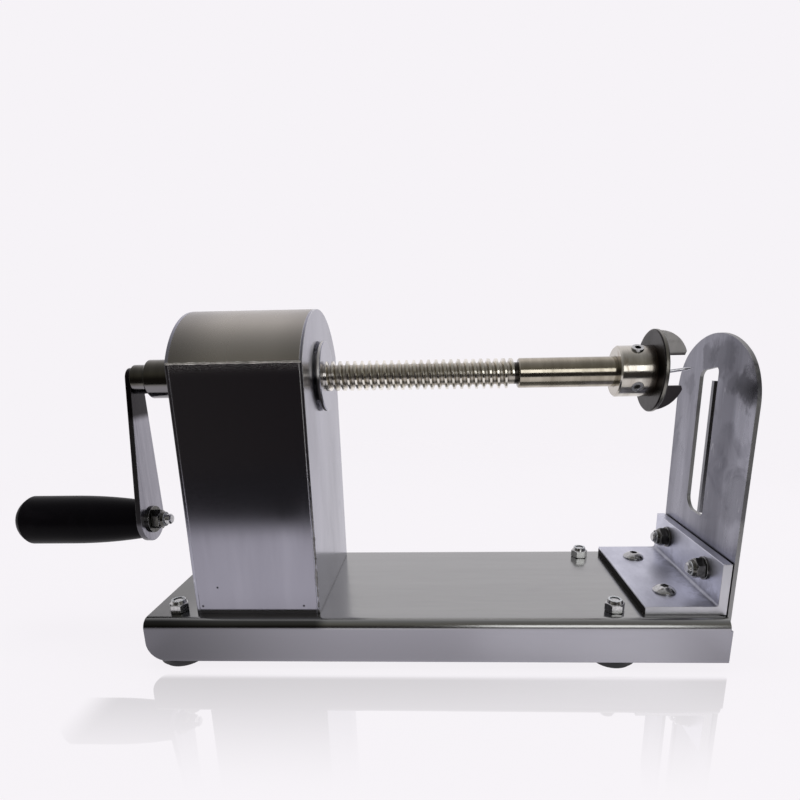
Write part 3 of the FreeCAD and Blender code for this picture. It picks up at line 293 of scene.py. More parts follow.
def makeSteel(name, changes, extra=None):
    look = {**steelBase, **changes}
    material, tree, shader, place = newMaterial(name)
    grain = useGroup(tree, brushedGrain, {
        "Coordinates": place, "Stretch": look["stretch"], "Fineness": look["fineness"],
        "Clouding": look["clouding"],
    })
    marks = useGroup(tree, handling, {
        "Coordinates": place, "Scale": look["markScale"], "Cover": look["markCover"],
    })["Marks"]
    lines = useGroup(tree, scratches, {
        "Coordinates": place, "Stretch": look["scratchStretch"], "Scale": look["scratchScale"],
        "Cover": look["scratchCover"],
    })["Lines"]
    edge = useGroup(tree, softEdge, {"Radius": look["edgeRadius"], "Gain": look["edgeGain"]})
    marked = maths(tree, "MULTIPLY", marks, look["markStrength"])
    scratched = maths(tree, "MULTIPLY", lines, look["scratchStrength"])
    # edge wear and a painted highlight: the edges turn lighter
    edgeWearAndHighlight = maths(tree, "MULTIPLY", edge["WearAndHighlight"], look["edgeStrength"])
    axes = put(tree, "SeparateXYZ", {0: place}).outputs
    for number, start, end, first, last in look["edgeWhere"]:
        edgeWearAndHighlight = maths(tree, "MULTIPLY", edgeWearAndHighlight, remap(tree, axes[number], start, end, first, last))
    colour = blendColours(tree, grain["Streaks"], look["dark"], look["light"])
    colour = blendColours(tree, marked, colour, look["markColour"])
    colour = blendColours(tree, scratched, colour, look["edgeColour"])
    colour = blendColours(tree, edgeWearAndHighlight, colour, look["edgeColour"])
    rough = remap(tree, grain["Streaks"], 0.0, 1.0, look["dull"], look["smooth"], smooth=False)
    rough = maths(tree, "ADD", rough, maths(tree, "MULTIPLY", marked, 0.25))
    # grime and painted shade darken the crevices
    grimeAndShade = useGroup(tree, creviceGrimeAndShade, {"Reach": look["grimeAndShadeReach"], "Gain": look["grimeAndShadeGain"]})["GrimeAndShade"]
    colour = blendColours(tree, grimeAndShade, colour, look["grimeAndShadeColour"])
    rough = maths(tree, "ADD", rough, maths(tree, "MULTIPLY", grimeAndShade, 0.3), clamp=True)
    # the worn edges, which carry the painted highlight, are less metallic so the lamps light them
    bright = maths(tree, "SUBTRACT", 1.0, maths(tree, "MULTIPLY", edgeWearAndHighlight, look["edgeMetalDrop"]))
    if look["cutAxis"]:
        cutFace = useGroup(tree, cutEdge, {"Axis": look["cutAxis"]})["Mask"]
        colour = blendColours(tree, maths(tree, "MULTIPLY", cutFace, 0.8), colour, look["cutColour"])
        rough = put(tree, "Mix", {"Factor": cutFace, "A": rough, "B": look["cutRough"]}).outputs[0]
    height = grain["Height"]
    if look["speckShare"]:
        dots = useGroup(tree, specks, {
            "Coordinates": place, "Scale": look["speckScale"], "Size": look["speckSize"],
            "Share": look["speckShare"],
        })["Dots"]
        colour = blendColours(tree, dots, colour, rgb(0.02, 0.02, 0.022))
        rough = maths(tree, "ADD", rough, maths(tree, "MULTIPLY", dots, 0.4), clamp=True)
    if extra:
        colour, rough, height = extra(tree, place, colour, rough, height)
    bump = put(tree, "Bump", {
        "Height": maths(tree, "SUBTRACT", height, maths(tree, "MULTIPLY", scratched, 0.5)),
        "Strength": look["depth"], "Distance": 0.001, "Normal": edge["Normal"],
    })
    feed(tree, shader.inputs["Base Color"], colour)
    feed(tree, shader.inputs["Roughness"], rough)
    feed(tree, shader.inputs["Normal"], bump.outputs[0])
    feed(tree, shader.inputs["Metallic"], bright)
    return material


wrapLow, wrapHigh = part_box("housing_wrap")
plateLow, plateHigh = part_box("housing_right_plate")
leftLow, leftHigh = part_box("housing_left_plate")
trayLow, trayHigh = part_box("base_tray")
bracketLow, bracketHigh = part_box("angle_bracket")
cutterLow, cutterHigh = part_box("cutter_plate")
shoulderHeight = wrapHigh.z - 26.0 * mm

housingFinish = {
    "light": rgb(0.335, 0.33, 0.38),
    "dark": rgb(0.285, 0.28, 0.325),
    "stretch": (1.0, 1.0, 0.12),
    "fineness": 330.0,
    "clouding": 0.85,
    "smooth": 0.09,
    "dull": 0.14,
    "depth": 0.02,
    "markScale": 17.0,
    "markStrength": 0.2,
    "scratchCover": 0.15,
    "edgeRadius": 0.0007,
    "edgeStrength": 0.9,
    # where edge wear and the painted highlight show: (axis, from, to, share at from, share at to)
    "edgeWhere": (
        (0, leftLow.x + 0.004, plateHigh.x - 0.010, 0.1, 1.0), (2, trayHigh.z + 0.055, trayHigh.z + 0.090, 0.15, 1.0),
    ),
    "crownColour": rgb(0.40, 0.375, 0.33),
    "crownRough": 0.15,
    "crownEndShade": 0.55,
    "grimeAndShadeGain": 0.15,
    "foldBand": 0.007,
    "foldRough": 0.35,
    "pits": ((3.4, 4.2, 0.75), (12.4, 14.9, 0.7), (57.6, 4.4, 0.75)),
}


def ageAndShadeHousing(tree, place, colour, rough, height):
    # a duller olive crown with painted shade towards both its ends, a roughened band under the fold, and three pits low
    # on the front
    look = housingFinish
    axes = put(tree, "SeparateXYZ", {0: place})
    crown = remap(tree, axes.outputs[2], shoulderHeight - 0.0006, shoulderHeight + 0.0006)
    # painted shade: the crown darkens towards its left and right ends
    fromLeft = remap(tree, axes.outputs[0], leftLow.x, leftLow.x + 0.028, look["crownEndShade"], 1.0)
    fromRight = remap(tree, axes.outputs[0], plateHigh.x - 0.018, plateHigh.x, 1.0, 0.8)
    ends = maths(tree, "MULTIPLY", fromLeft, fromRight)
    shade = put(tree, "CombineColor", {0: ends, 1: ends, 2: ends}).outputs[0]
    crownColour = blendColours(tree, 1.0, look["crownColour"], shade, "MULTIPLY")
    colour = blendColours(tree, maths(tree, "MULTIPLY", crown, 0.92), colour, crownColour)
    rough = maths(tree, "ADD", rough, maths(tree, "MULTIPLY", crown, look["crownRough"]))
    below = remap(tree, axes.outputs[2], shoulderHeight - look["foldBand"], shoulderHeight)
    band = maths(tree, "MULTIPLY", below, maths(tree, "SUBTRACT", 1.0, crown))
    grit = put(tree, "TexNoise", {"Vector": place, "Scale": 2600.0, "Detail": 2.0}).outputs["Fac"]
    gritty = maths(tree, "MULTIPLY", band, remap(tree, grit, 0.42, 0.62))
    rough = maths(tree, "ADD", rough, maths(tree, "MULTIPLY", gritty, look["foldRough"]), clamp=True)
    colour = blendColours(tree, maths(tree, "MULTIPLY", gritty, 0.5), colour, rgb(0.62, 0.60, 0.55))
    height = maths(tree, "ADD", height, maths(tree, "MULTIPLY", gritty, 2.0))
    for across, up, radius in look["pits"]:
        centre = (leftLow.x + across * mm, wrapLow.y, trayHigh.z + up * mm)
        blot = useGroup(tree, roundBlot, {"Coordinates": place, "Centre": centre, "Radius": radius * mm})["Blot"]
        colour = blendColours(tree, blot, colour, rgb(0.01, 0.01, 0.012))
    return colour, rough, height


housingSteel = makeSteel("housingSteel", housingFinish, ageAndShadeHousing)

endPlateFinish = {
    "light": rgb(0.345, 0.345, 0.40),
    "dark": rgb(0.26, 0.26, 0.30),
    "grimeAndShadeGain": 0.15,
    "stretch": (1.0, 0.6, 0.18),
    "fineness": 260.0,
    "clouding": 0.85,
    "smooth": 0.12,
    "dull": 0.22,
    "depth": 0.03,
    "markScale": 30.0,
    "markCover": 0.6,
    "markStrength": 0.3,
    "markColour": rgb(0.30, 0.30, 0.34),
    "edgeRadius": 0.0006,
    "edgeStrength": 0.9,
    # edge wear and the painted highlight show only in this height band
    "edgeWhere": ((2, trayHigh.z + 0.055, trayHigh.z + 0.090, 0.2, 1.0),),
}
endPlateSteel = makeSteel("endPlateSteel", endPlateFinish)
leftPlateFinish = {**endPlateFinish, "edgeStrength": 0.08}
leftPlateSteel = makeSteel("leftPlateSteel", leftPlateFinish)

nutLow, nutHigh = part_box("feed_nut")
nutFinish = {
    **endPlateFinish,
    "edgeWhere": (),
    "edgeRadius": 0.0003,
    "axisHeight": (nutLow.z + nutHigh.z) / 2,
    "rimHighlight": rgb(0.95, 0.94, 0.90),
    "rimShadow": rgb(0.10, 0.095, 0.095),
    "rimRough": 0.5,
}


def paintNutRimLight(tree, place, colour, rough, height):
    # painted highlight on the flange's rim above the axis, and painted shadow on it below the axis
    look = nutFinish
    rim = useGroup(tree, cutEdge, {"Axis": (1, 0, 0)})["Mask"]
    up = put(tree, "SeparateXYZ", {0: place}).outputs[2]
    rimLitSide = remap(tree, up, look["axisHeight"] - 0.001, look["axisHeight"] + 0.002)
    colour = blendColours(tree, rim, colour, blendColours(tree, rimLitSide, look["rimShadow"], look["rimHighlight"]))
    rough = put(tree, "Mix", {"Factor": rim, "A": rough, "B": look["rimRough"]}).outputs[0]
    return colour, rough, height


nutSteel = makeSteel("nutSteel", nutFinish, paintNutRimLight)

trayFinish = {
    "light": rgb(0.362, 0.366, 0.36),
    "dark": rgb(0.335, 0.338, 0.333),
    "stretch": (0.05, 1.0, 1.0),
    "fineness": 800.0,
    "clouding": 0.5,
    "smooth": 0.15,
    "dull": 0.21,
    "depth": 0.015,
    "markScale": 14.0,
    "markStrength": 0.2,
    "scratchStretch": (0.2, 1.0, 1.0),
    "scratchCover": 0.2,
    "edgeStrength": 0.4,
    "sideReflectionColour": rgb(0.335, 0.33, 0.37),
    "leftShade": 0.52,
    "topShade": 0.45,
    "bendShade": 0.26,
}


def toneAndShadeTray(tree, place, colour, rough, height):
    # painted reflection makes the folded sides bluer than the top, and painted shade dims both towards the open end
    axes = put(tree, "SeparateXYZ", {0: place})
    # painted reflection gives the folded sides a bluer tone; painted shade dims them towards the open end, and a cloud
    # varies their tone at random
    side = remap(tree, axes.outputs[2], trayHigh.z - 0.0055, trayHigh.z - 0.003, 1.0, 0.0)
    dim = remap(tree, axes.outputs[0], trayLow.x, trayLow.x + 0.11, trayFinish["leftShade"], 1.0)
    cloud = put(tree, "TexNoise", {"Vector": place, "Scale": 9.0, "Detail": 1.0}).outputs["Fac"]
    dim = maths(tree, "MULTIPLY", dim, remap(tree, cloud, 0.3, 0.7, 0.84, 1.0))
    shade = put(tree, "CombineColor", {0: dim, 1: dim, 2: dim}).outputs[0]
    sideReflectionColour = blendColours(tree, 1.0, trayFinish["sideReflectionColour"], shade, "MULTIPLY")
    # painted shade: the top darkens towards the open end
    endShade = remap(tree, axes.outputs[0], trayLow.x + 0.006, trayLow.x + 0.048, trayFinish["topShade"], 1.0)
    shade = put(tree, "CombineColor", {0: endShade, 1: endShade, 2: endShade}).outputs[0]
    colour = blendColours(tree, 1.0, colour, shade, "MULTIPLY")
    # painted reflection of the housing's dark front darkens the bend beside it
    bend = maths(tree, "MULTIPLY", remap(tree, axes.outputs[2], trayHigh.z - 0.006, trayHigh.z - 0.004),
                 remap(tree, axes.outputs[2], trayHigh.z - 0.0012, trayHigh.z - 0.0003, 1.0, 0.0))
    besideHousing = remap(tree, axes.outputs[0], plateHigh.x - 0.002, plateHigh.x + 0.006, trayFinish["bendShade"], 1.0)
    shade = put(tree, "CombineColor", {0: besideHousing, 1: besideHousing, 2: besideHousing}).outputs[0]
    colour = blendColours(tree, bend, colour, blendColours(tree, 1.0, colour, shade, "MULTIPLY"))
    colour = blendColours(tree, maths(tree, "MULTIPLY", side, 0.9), colour, sideReflectionColour)
    return colour, rough, height


traySteel = makeSteel("traySteel", trayFinish, toneAndShadeTray)

plateFinish = {
    "light": rgb(0.31, 0.31, 0.355),
    "dark": rgb(0.16, 0.16, 0.19),
    "stretch": (1.0, 1.0, 0.10),
    "fineness": 240.0,
    "clouding": 0.75,
    "smooth": 0.22,
    "dull": 0.36,
    "depth": 0.05,
    "markScale": 44.0,
    "markCover": 0.62,
    "markColour": rgb(0.13, 0.13, 0.16),
    "markStrength": 0.55,
    "scratchCover": 0.5,
    "edgeStrength": 0.55,
    "cutAxis": (1, 0, 0),
    "cutColour": rgb(0.30, 0.30, 0.29),
    "darkBlots": (
        (-34.0, 114.0, 12.0, 0.85), (-22.0, 117.0, 9.0, 0.5), (-6.0, 128.0, 14.0, 0.6), (6.0, 127.0, 9.0, 0.5),
        (-16.0, 45.0, 22.0, 0.15), (-38.0, 60.0, 20.0, 0.4), (26.0, 112.0, 9.0, 0.35), (12.0, 100.0, 8.0, 0.3),
        (-22.0, 84.0, 14.0, 0.25), (8.0, 52.0, 10.0, 0.3),
    ),
}


def blotPlate(tree, place, colour, rough, height):
    # dark blots: distance behind the front, height over the tray, size and strength
    ripple = put(tree, "TexNoise", {"Vector": place, "Scale": 70.0, "Detail": 4.0, "Roughness": 0.65})
    swing = put(tree, "VectorMath", {0: ripple.outputs["Color"], 1: (0.0, 0.026, 0.026)}, operation="MULTIPLY")
    bent = put(tree, "VectorMath", {0: place, 1: swing.outputs[0]}, operation="ADD").outputs[0]
    for deep, up, radius, strength in plateFinish["darkBlots"]:
        centre = (cutterLow.x, deep * mm + 0.013, trayHigh.z + up * mm + 0.013)
        blot = useGroup(tree, roundBlot, {"Coordinates": bent, "Centre": centre, "Radius": radius * mm})["Blot"]
        colour = blendColours(tree, maths(tree, "MULTIPLY", blot, strength), colour, rgb(0.05, 0.05, 0.065))
    return colour, rough, height


plateSteel = makeSteel("plateSteel", plateFinish, blotPlate)

bracketFinish = {
    "light": rgb(0.66, 0.67, 0.76),
    "dark": rgb(0.52, 0.53, 0.61),
    "stretch": (1.0, 0.5, 1.0),
    "fineness": 420.0,
    "clouding": 0.7,
    "smooth": 0.36,
    "dull": 0.46,
    "depth": 0.08,
    "markScale": 36.0,
    "markCover": 0.3,
    "markColour": rgb(0.34, 0.34, 0.39),
    "markStrength": 0.3,
    "scratchCover": 0.2,
    "edgeRadius": 0.0006,
    "edgeStrength": 0.6,
    "cutColour": rgb(0.56, 0.56, 0.58),
    "cutRough": 0.5,
    "grimeAndShadeReach": 0.005,
    "grimeAndShadeGain": 0.8,
    "thick": 0.0045,
    "cornerDarkReach": 0.012,
}


def ageBracket(tree, place, colour, rough, height):
    # pale sawn ends, a black edge along the foot, and darker in the inner corner
    look = bracketFinish
    axes = put(tree, "SeparateXYZ", {0: place})
    face = put(tree, "SeparateXYZ", {0: put(tree, "NewGeometry").outputs["Normal"]})
    sawn = maths(tree, "GREATER_THAN", maths(tree, "ABSOLUTE", face.outputs[1]), 0.5)
    colour = blendColours(tree, maths(tree, "MULTIPLY", sawn, 0.8), colour, look["cutColour"])
    low = maths(tree, "LESS_THAN", axes.outputs[2], bracketLow.z + look["thick"] - 0.0010)
    facing = maths(tree, "LESS_THAN", face.outputs[0], -0.5)
    edge = maths(tree, "MULTIPLY", low, facing)
    colour = blendColours(tree, edge, colour, rgb(0.025, 0.022, 0.022))
    rough = maths(tree, "ADD", rough, maths(tree, "MULTIPLY", edge, 0.3))
    inX = maths(tree, "SUBTRACT", bracketHigh.x - look["thick"], axes.outputs[0])
    inZ = maths(tree, "SUBTRACT", axes.outputs[2], bracketLow.z + look["thick"])
    reach = maths(tree, "MAXIMUM", inX, inZ)
    ragged = put(tree, "TexNoise", {"Vector": place, "Scale": 140.0, "Detail": 4.0, "Roughness": 0.7}).outputs["Fac"]
    spread = maths(tree, "MULTIPLY", remap(tree, ragged, 0.30, 0.72, 0.15, 1.0), look["cornerDarkReach"])
    innerCornerDark = put(tree, "MapRange", {
        "Value": reach, "From Min": 0.0, "From Max": spread, "To Min": 0.55, "To Max": 0.0,
    }).outputs["Result"]
    outer = maths(tree, "SUBTRACT", 1.0, sawn)
    colour = blendColours(tree, maths(tree, "MULTIPLY", innerCornerDark, outer, clamp=True), colour, rgb(0.09, 0.09, 0.105))
    return colour, rough, height


bracketSteel = makeSteel("bracketSteel", bracketFinish, ageBracket)

turnedFinish = {
    "light": rgb(0.66, 0.64, 0.58),
    "dark": rgb(0.46, 0.43, 0.38),
    "stretch": (1.0, 0.08, 0.08),
    "fineness": 1400.0,
    "clouding": 0.8,
    "smooth": 0.12,
    "dull": 0.22,
    "depth": 0.015,
    "markScale": 60.0,
    "markColour": rgb(0.20, 0.13, 0.07),
    "markStrength": 0.6,
    "edgeRadius": 0.0003,
    "edgeStrength": 0.35,
    "grimeAndShadeGain": 0.9,
}
turnedSteel = makeSteel("turnedSteel", turnedFinish)

collarLow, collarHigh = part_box("holder_collar")
collarFinish = {
    **turnedFinish, "smooth": 0.09, "dull": 0.18, "burnt": rgb(0.055, 0.035, 0.022), "burntReach": 0.0095,
}


def ageCollar(tree, place, colour, rough, height):
    # burnt brown towards the disc
    along = put(tree, "SeparateXYZ", {0: place}).outputs[0]
    ragged = put(tree, "TexNoise", {"Vector": place, "Scale": 160.0, "Detail": 3.0}).outputs["Fac"]
    start = collarHigh.x - collarFinish["burntReach"]
    along = maths(tree, "ADD", along, maths(tree, "MULTIPLY", ragged, 0.006))
    burnt = remap(tree, along, start + 0.003, collarHigh.x + 0.003, 0.0, 0.9)
    rough = maths(tree, "ADD", rough, maths(tree, "MULTIPLY", burnt, 0.15))
    return blendColours(tree, burnt, colour, collarFinish["burnt"]), rough, height


collarSteel = makeSteel("collarSteel", collarFinish, ageCollar)

bushFinish = {
    **turnedFinish,
    "light": rgb(0.12, 0.115, 0.10),
    "dark": rgb(0.07, 0.066, 0.056),
    "markColour": rgb(0.04, 0.036, 0.03),
    "markStrength": 0.3,
    "edgeStrength": 0.1,
    "lowFloorReflection": rgb(0.19, 0.185, 0.19),
    "axisHeight": (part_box("guide_bush")[0].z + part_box("guide_bush")[1].z) / 2,
}


def paintBushFloorReflection(tree, place, colour, rough, height):
    # painted reflection of the white floor: the undersides are lighter than the tops
    up = put(tree, "SeparateXYZ", {0: place}).outputs[2]
    level = bushFinish["axisHeight"]
    facingFloor = remap(tree, up, level - 0.004, level - 0.002, 1.0, 0.0)
    return blendColours(tree, facingFloor, colour, bushFinish["lowFloorReflection"]), rough, height


bushSteel = makeSteel("bushSteel", bushFinish, paintBushFloorReflection)

needleFinish = {**turnedFinish, "light": rgb(0.85, 0.85, 0.9), "dark": rgb(0.7, 0.7, 0.75), "markStrength": 0.1}
needleSteel = makeSteel("needleSteel", needleFinish)

discFinish = {
    "light": rgb(0.040, 0.037, 0.037),
    "dark": rgb(0.014, 0.012, 0.012),
    "stretch": (0.6, 0.6, 0.6),
    "fineness": 420.0,
    "clouding": 0.7,
    "smooth": 0.26,
    "dull": 0.42,
    "depth": 0.06,
    "markScale": 110.0,
    "markCover": 0.6,
    "markColour": rgb(0.03, 0.026, 0.022),
    "markStrength": 0.5,
    "edgeRadius": 0.0003,
    "edgeColour": rgb(0.45, 0.44, 0.41),
    "edgeStrength": 0.5,
    "cutAxis": (1, 0, 0),
    "cutColour": rgb(0.27, 0.26, 0.235),
    "cutRough": 0.32,
    "collarShade": rgb(0.012, 0.009, 0.008),
    "axisHeight": bushFinish["axisHeight"],
}


def shadeDisc(tree, place, colour, rough, height):
    # painted shade: darkest round the collar and below it
    axes = put(tree, "SeparateXYZ", {0: place})
    up = maths(tree, "SUBTRACT", axes.outputs[2], discFinish["axisHeight"])
    flat = maths(tree, "SUBTRACT", 1.0, useGroup(tree, cutEdge, {"Axis": (1, 0, 0)})["Mask"])
    below = maths(tree, "MULTIPLY", flat, remap(tree, up, -0.010, 0.008, 0.7, 0.0))
    colour = blendColours(tree, below, colour, discFinish["collarShade"])
    across = maths(tree, "MULTIPLY", axes.outputs[1], axes.outputs[1])
    out = maths(tree, "SQRT", maths(tree, "ADD", across, maths(tree, "MULTIPLY", up, up)))
    near = remap(tree, out, 0.0135, 0.0195, 0.85, 0.0)
    return blendColours(tree, near, colour, discFinish["collarShade"]), rough, height


discSteel = makeSteel("discSteel", discFinish, shadeDisc)

finFinish = {
    **discFinish,
    "light": rgb(0.80, 0.78, 0.77),
    "dark": rgb(0.58, 0.565, 0.56),
    "smooth": 0.34,
    "dull": 0.50,
    "markStrength": 0.25,
    "markColour": rgb(0.2, 0.19, 0.18),
    "cutAxis": None,
    "lowFinShadeColour": rgb(0.07, 0.06, 0.07),
}


def shadeFins(tree, place, colour, rough, height):
    # painted shade: the lower fin is dark, the upper one only along its straight edge
    up = put(tree, "SeparateXYZ", {0: place}).outputs[2]
    level = finFinish["axisHeight"]
    finShade = remap(tree, up, level + 0.0082, level + 0.0100, 0.95, 0.0)
    return blendColours(tree, finShade, colour, finFinish["lowFinShadeColour"]), rough, height


finSteel = makeSteel("finSteel", finFinish, shadeFins)

armFinish = {
    "light": rgb(0.32, 0.315, 0.35),
    "dark": rgb(0.24, 0.235, 0.265),
    "topColour": rgb(0.018, 0.016, 0.018),
    "stretch": (1.0, 1.0, 0.06),
    "fineness": 700.0,
    "smooth": 0.15,
    "dull": 0.28,
    "depth": 0.05,
    "markScale": 60.0,
    "edgeStrength": 0.7,
    "cutAxis": (1, 0, 0),
    "cutColour": rgb(0.05, 0.048, 0.052),
    "cutRough": 0.3,
}


def darkenArmTop(tree, place, colour, rough, height):
    # dark where the arm meets the spacer
    up = put(tree, "SeparateXYZ", {0: place}).outputs[2]
    level = bushFinish["axisHeight"]
    dark = remap(tree, up, level - 0.0235, level - 0.0185, 0.0, 1.0)
    return blendColours(tree, dark, colour, armFinish["topColour"]), rough, height


armSteel = makeSteel("armSteel", armFinish, darkenArmTop)

fastenerFinish = {
    "light": rgb(0.58, 0.58, 0.58),
    "dark": rgb(0.34, 0.34, 0.34),
    "stretch": (1.0, 1.0, 1.0),
    "fineness": 900.0,
    "smooth": 0.10,
    "dull": 0.22,
    "depth": 0.03,
    "markScale": 260.0,
    "markColour": rgb(0.16, 0.15, 0.14),
    "markStrength": 0.4,
    "scratchCover": 0.15,
    "edgeRadius": 0.00025,
    "edgeStrength": 0.6,
}
fastenerSteel = makeSteel("fastenerSteel", fastenerFinish)

dullFastenerFinish = {
    **fastenerFinish,
    "light": rgb(0.15, 0.147, 0.135),
    "dark": rgb(0.035, 0.034, 0.032),
    "smooth": 0.12,
    "dull": 0.26,
    "markStrength": 0.6,
    "markColour": rgb(0.03, 0.028, 0.027),
    "edgeStrength": 0.9,
}
dullFastenerSteel = makeSteel("dullFastenerSteel", dullFastenerFinish)

bladeFinish = {
    "light": rgb(0.22, 0.22, 0.24),
    "dark": rgb(0.12, 0.12, 0.13),
    "stretch": (1.0, 1.0, 0.1),
    "fineness": 1200.0,
    "smooth": 0.14,
    "dull": 0.28,
    "depth": 0.03,
    "edgeRadius": 0.0001,
}
bladeSteel = makeSteel("bladeSteel", bladeFinish)

screwFinish = {
    "light": rgb(0.92, 0.89, 0.81),
    "dark": rgb(0.62, 0.59, 0.52),
    "stretch": (1.0, 0.12, 0.12),
    "fineness": 1300.0,
    "clouding": 0.8,
    "smooth": 0.10,
    "dull": 0.19,
    "depth": 0.015,
    "grimeAndShadeReach": 0.0012,
    "grimeAndShadeGain": 0.3,
    "markScale": 90.0,
    "markColour": rgb(0.26, 0.22, 0.19),
    "markStrength": 0.35,
    "edgeRadius": 0.00025,
    "edgeStrength": 0.5,
    "axisHeight": (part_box("guide_bush")[0].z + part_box("guide_bush")[1].z) / 2,
    "rootRadius": 0.00585,
    "crestRadius": 0.0070,
    "rootColour": rgb(0.42, 0.39, 0.34),
    "rodColour": rgb(0.50, 0.475, 0.43),
    "threadEnd": collarLow.x - 52.4 * mm,
    "ringWidth": 0.0014,
}


def darkenThreadRoots(tree, place, colour, rough, height):
    axes = put(tree, "SeparateXYZ", {0: place})
    up = maths(tree, "SUBTRACT", axes.outputs[2], screwFinish["axisHeight"])
    across = maths(tree, "MULTIPLY", axes.outputs[1], axes.outputs[1])
    out = maths(tree, "SQRT", maths(tree, "ADD", across, maths(tree, "MULTIPLY", up, up)))
    # grime and painted shade: the thread's roots are darker
    depth = remap(tree, out, screwFinish["rootRadius"], screwFinish["crestRadius"], 0.85, 0.0)
    colour = blendColours(tree, depth, colour, screwFinish["rootColour"])
    rough = maths(tree, "ADD", rough, maths(tree, "MULTIPLY", depth, 0.2), clamp=True)
    # the plain rod is duller, with a black ring where the thread stops
    end = screwFinish["threadEnd"]
    rod = remap(tree, axes.outputs[0], end, end + 0.0005)
    colour = blendColours(tree, rod, colour, blendColours(tree, 1.0, colour, screwFinish["rodColour"], "MULTIPLY"))
    fromEnd = maths(tree, "ABSOLUTE", maths(tree, "SUBTRACT", axes.outputs[0], end))
    ring = remap(tree, fromEnd, screwFinish["ringWidth"] * 0.5, screwFinish["ringWidth"], 0.95, 0.0)
    colour = blendColours(tree, ring, colour, rgb(0.02, 0.017, 0.015))
    return colour, rough, height


screwSteel = makeSteel("screwSteel", screwFinish, darkenThreadRoots)

gripFinish = {
    "colour": rgb(0.0028, 0.0024, 0.0032),
    "edgeWearAndHighlight": rgb(0.0045, 0.0038, 0.005),
    "rough": 0.34,
    "dull": 0.46,
    "shine": 0.03,
    "grain": 900.0,
    "depth": 0.02,
}


def makeGripPlastic():
    material, tree, shader, place = newMaterial("gripPlastic")
    pits = put(tree, "TexNoise", {"Vector": place, "Scale": gripFinish["grain"], "Detail": 3.0})
    marks = useGroup(tree, handling, {"Coordinates": place, "Scale": 45.0, "Cover": 0.6})["Marks"]
    colour = blendColours(tree, marks, gripFinish["colour"], gripFinish["edgeWearAndHighlight"])
    rough = remap(tree, marks, 0.0, 1.0, gripFinish["rough"], gripFinish["dull"])
    edge = useGroup(tree, softEdge, {"Radius": 0.0004, "Gain": 4.0})
    bump = put(tree, "Bump", {
        "Height": pits.outputs["Fac"], "Strength": gripFinish["depth"], "Distance": 0.001,
        "Normal": edge["Normal"],
    })
    feed(tree, shader.inputs["Base Color"], colour)
    feed(tree, shader.inputs["Roughness"], rough)
    feed(tree, shader.inputs["Normal"], bump.outputs[0])
    shader.inputs["Specular IOR Level"].default_value = gripFinish["shine"]
    return material


gripPlastic = makeGripPlastic()

footFinish = {
    "colour": rgb(0.006, 0.006, 0.008),
    "dust": rgb(0.02, 0.02, 0.02),
    "rough": 0.55,
    "grain": 700.0,
    "depth": 0.15,
}


def makeFootRubber():
    material, tree, shader, place = newMaterial("footRubber")
    pits = put(tree, "TexNoise", {"Vector": place, "Scale": footFinish["grain"], "Detail": 4.0})
    dust = useGroup(tree, handling, {"Coordinates": place, "Scale": 120.0, "Cover": 0.5})["Marks"]
    colour = blendColours(tree, maths(tree, "MULTIPLY", dust, 0.5), footFinish["colour"], footFinish["dust"])
    bump = put(tree, "Bump", {
        "Height": pits.outputs["Fac"], "Strength": footFinish["depth"], "Distance": 0.001,
    })
    feed(tree, shader.inputs["Base Color"], colour)
    feed(tree, shader.inputs["Roughness"], remap(tree, dust, 0.0, 1.0, footFinish["rough"], 0.8))
    feed(tree, shader.inputs["Normal"], bump.outputs[0])
    return material


footRubber = makeFootRubber()

nylonFinish = {"colour": rgb(0.50, 0.52, 0.55), "dirt": rgb(0.16, 0.16, 0.17), "rough": 0.45}


def makeNylon():
    material, tree, shader, place = newMaterial("nylon")
    dirt = useGroup(tree, handling, {"Coordinates": place, "Scale": 400.0, "Cover": 0.7})["Marks"]
    feed(tree, shader.inputs["Base Color"], blendColours(tree, dirt, nylonFinish["colour"], nylonFinish["dirt"]))
    feed(tree, shader.inputs["Roughness"], remap(tree, dirt, 0.0, 1.0, nylonFinish["rough"], 0.7))
    return material


nylon = makeNylon()
print("finishes ready")

finishOf = {
    "base_tray": traySteel,
    "housing_wrap": housingSteel,
    "housing_left_plate": leftPlateSteel,
    "housing_right_plate": endPlateSteel,
    "housing_tabs": traySteel,
    "cutter_plate": plateSteel,
    "cutter_blade": bladeSteel,
    "angle_bracket": bracketSteel,
    "guide_bush": bushSteel,
    "feed_nut": nutSteel,
    "stop_spacer": bushSteel,
    "grip_sleeve": turnedSteel,
    "holder_collar": collarSteel,
    "holder_needle": needleSteel,
    "holder_disc": discSteel,
    "holder_fins": finSteel,
    "lead_screw": screwSteel,
    "crank_arm": armSteel,
    "grip_nut": dullFastenerSteel,
    "grip_washer": dullFastenerSteel,
    "plate_lock_nuts": dullFastenerSteel,
    "plate_washers": dullFastenerSteel,
    "grip": gripPlastic,
    "grip_cap": gripPlastic,
    "foot_front_left": footRubber,
    "foot_front_right": footRubber,
    "foot_rear_left": footRubber,
    "foot_rear_right": footRubber,
}
for node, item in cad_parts.items():
    finish = finishOf.get(node, fastenerSteel)
    for slot in item.material_slots:
        slot.material = finish
    if not item.material_slots:
        item.data.materials.append(finish)
print("finishes given to the frame")


# pieces made here
def addPiece(name, mesh, body, material, smooth=True):
    piece = bpy.data.objects.new(name, mesh)
    bpy.context.scene.collection.objects.link(piece)
    mesh.materials.append(material)
    if smooth:
        mesh.polygons.foreach_set("use_smooth", [True] * len(mesh.polygons))
    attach(piece, body)
    return piece


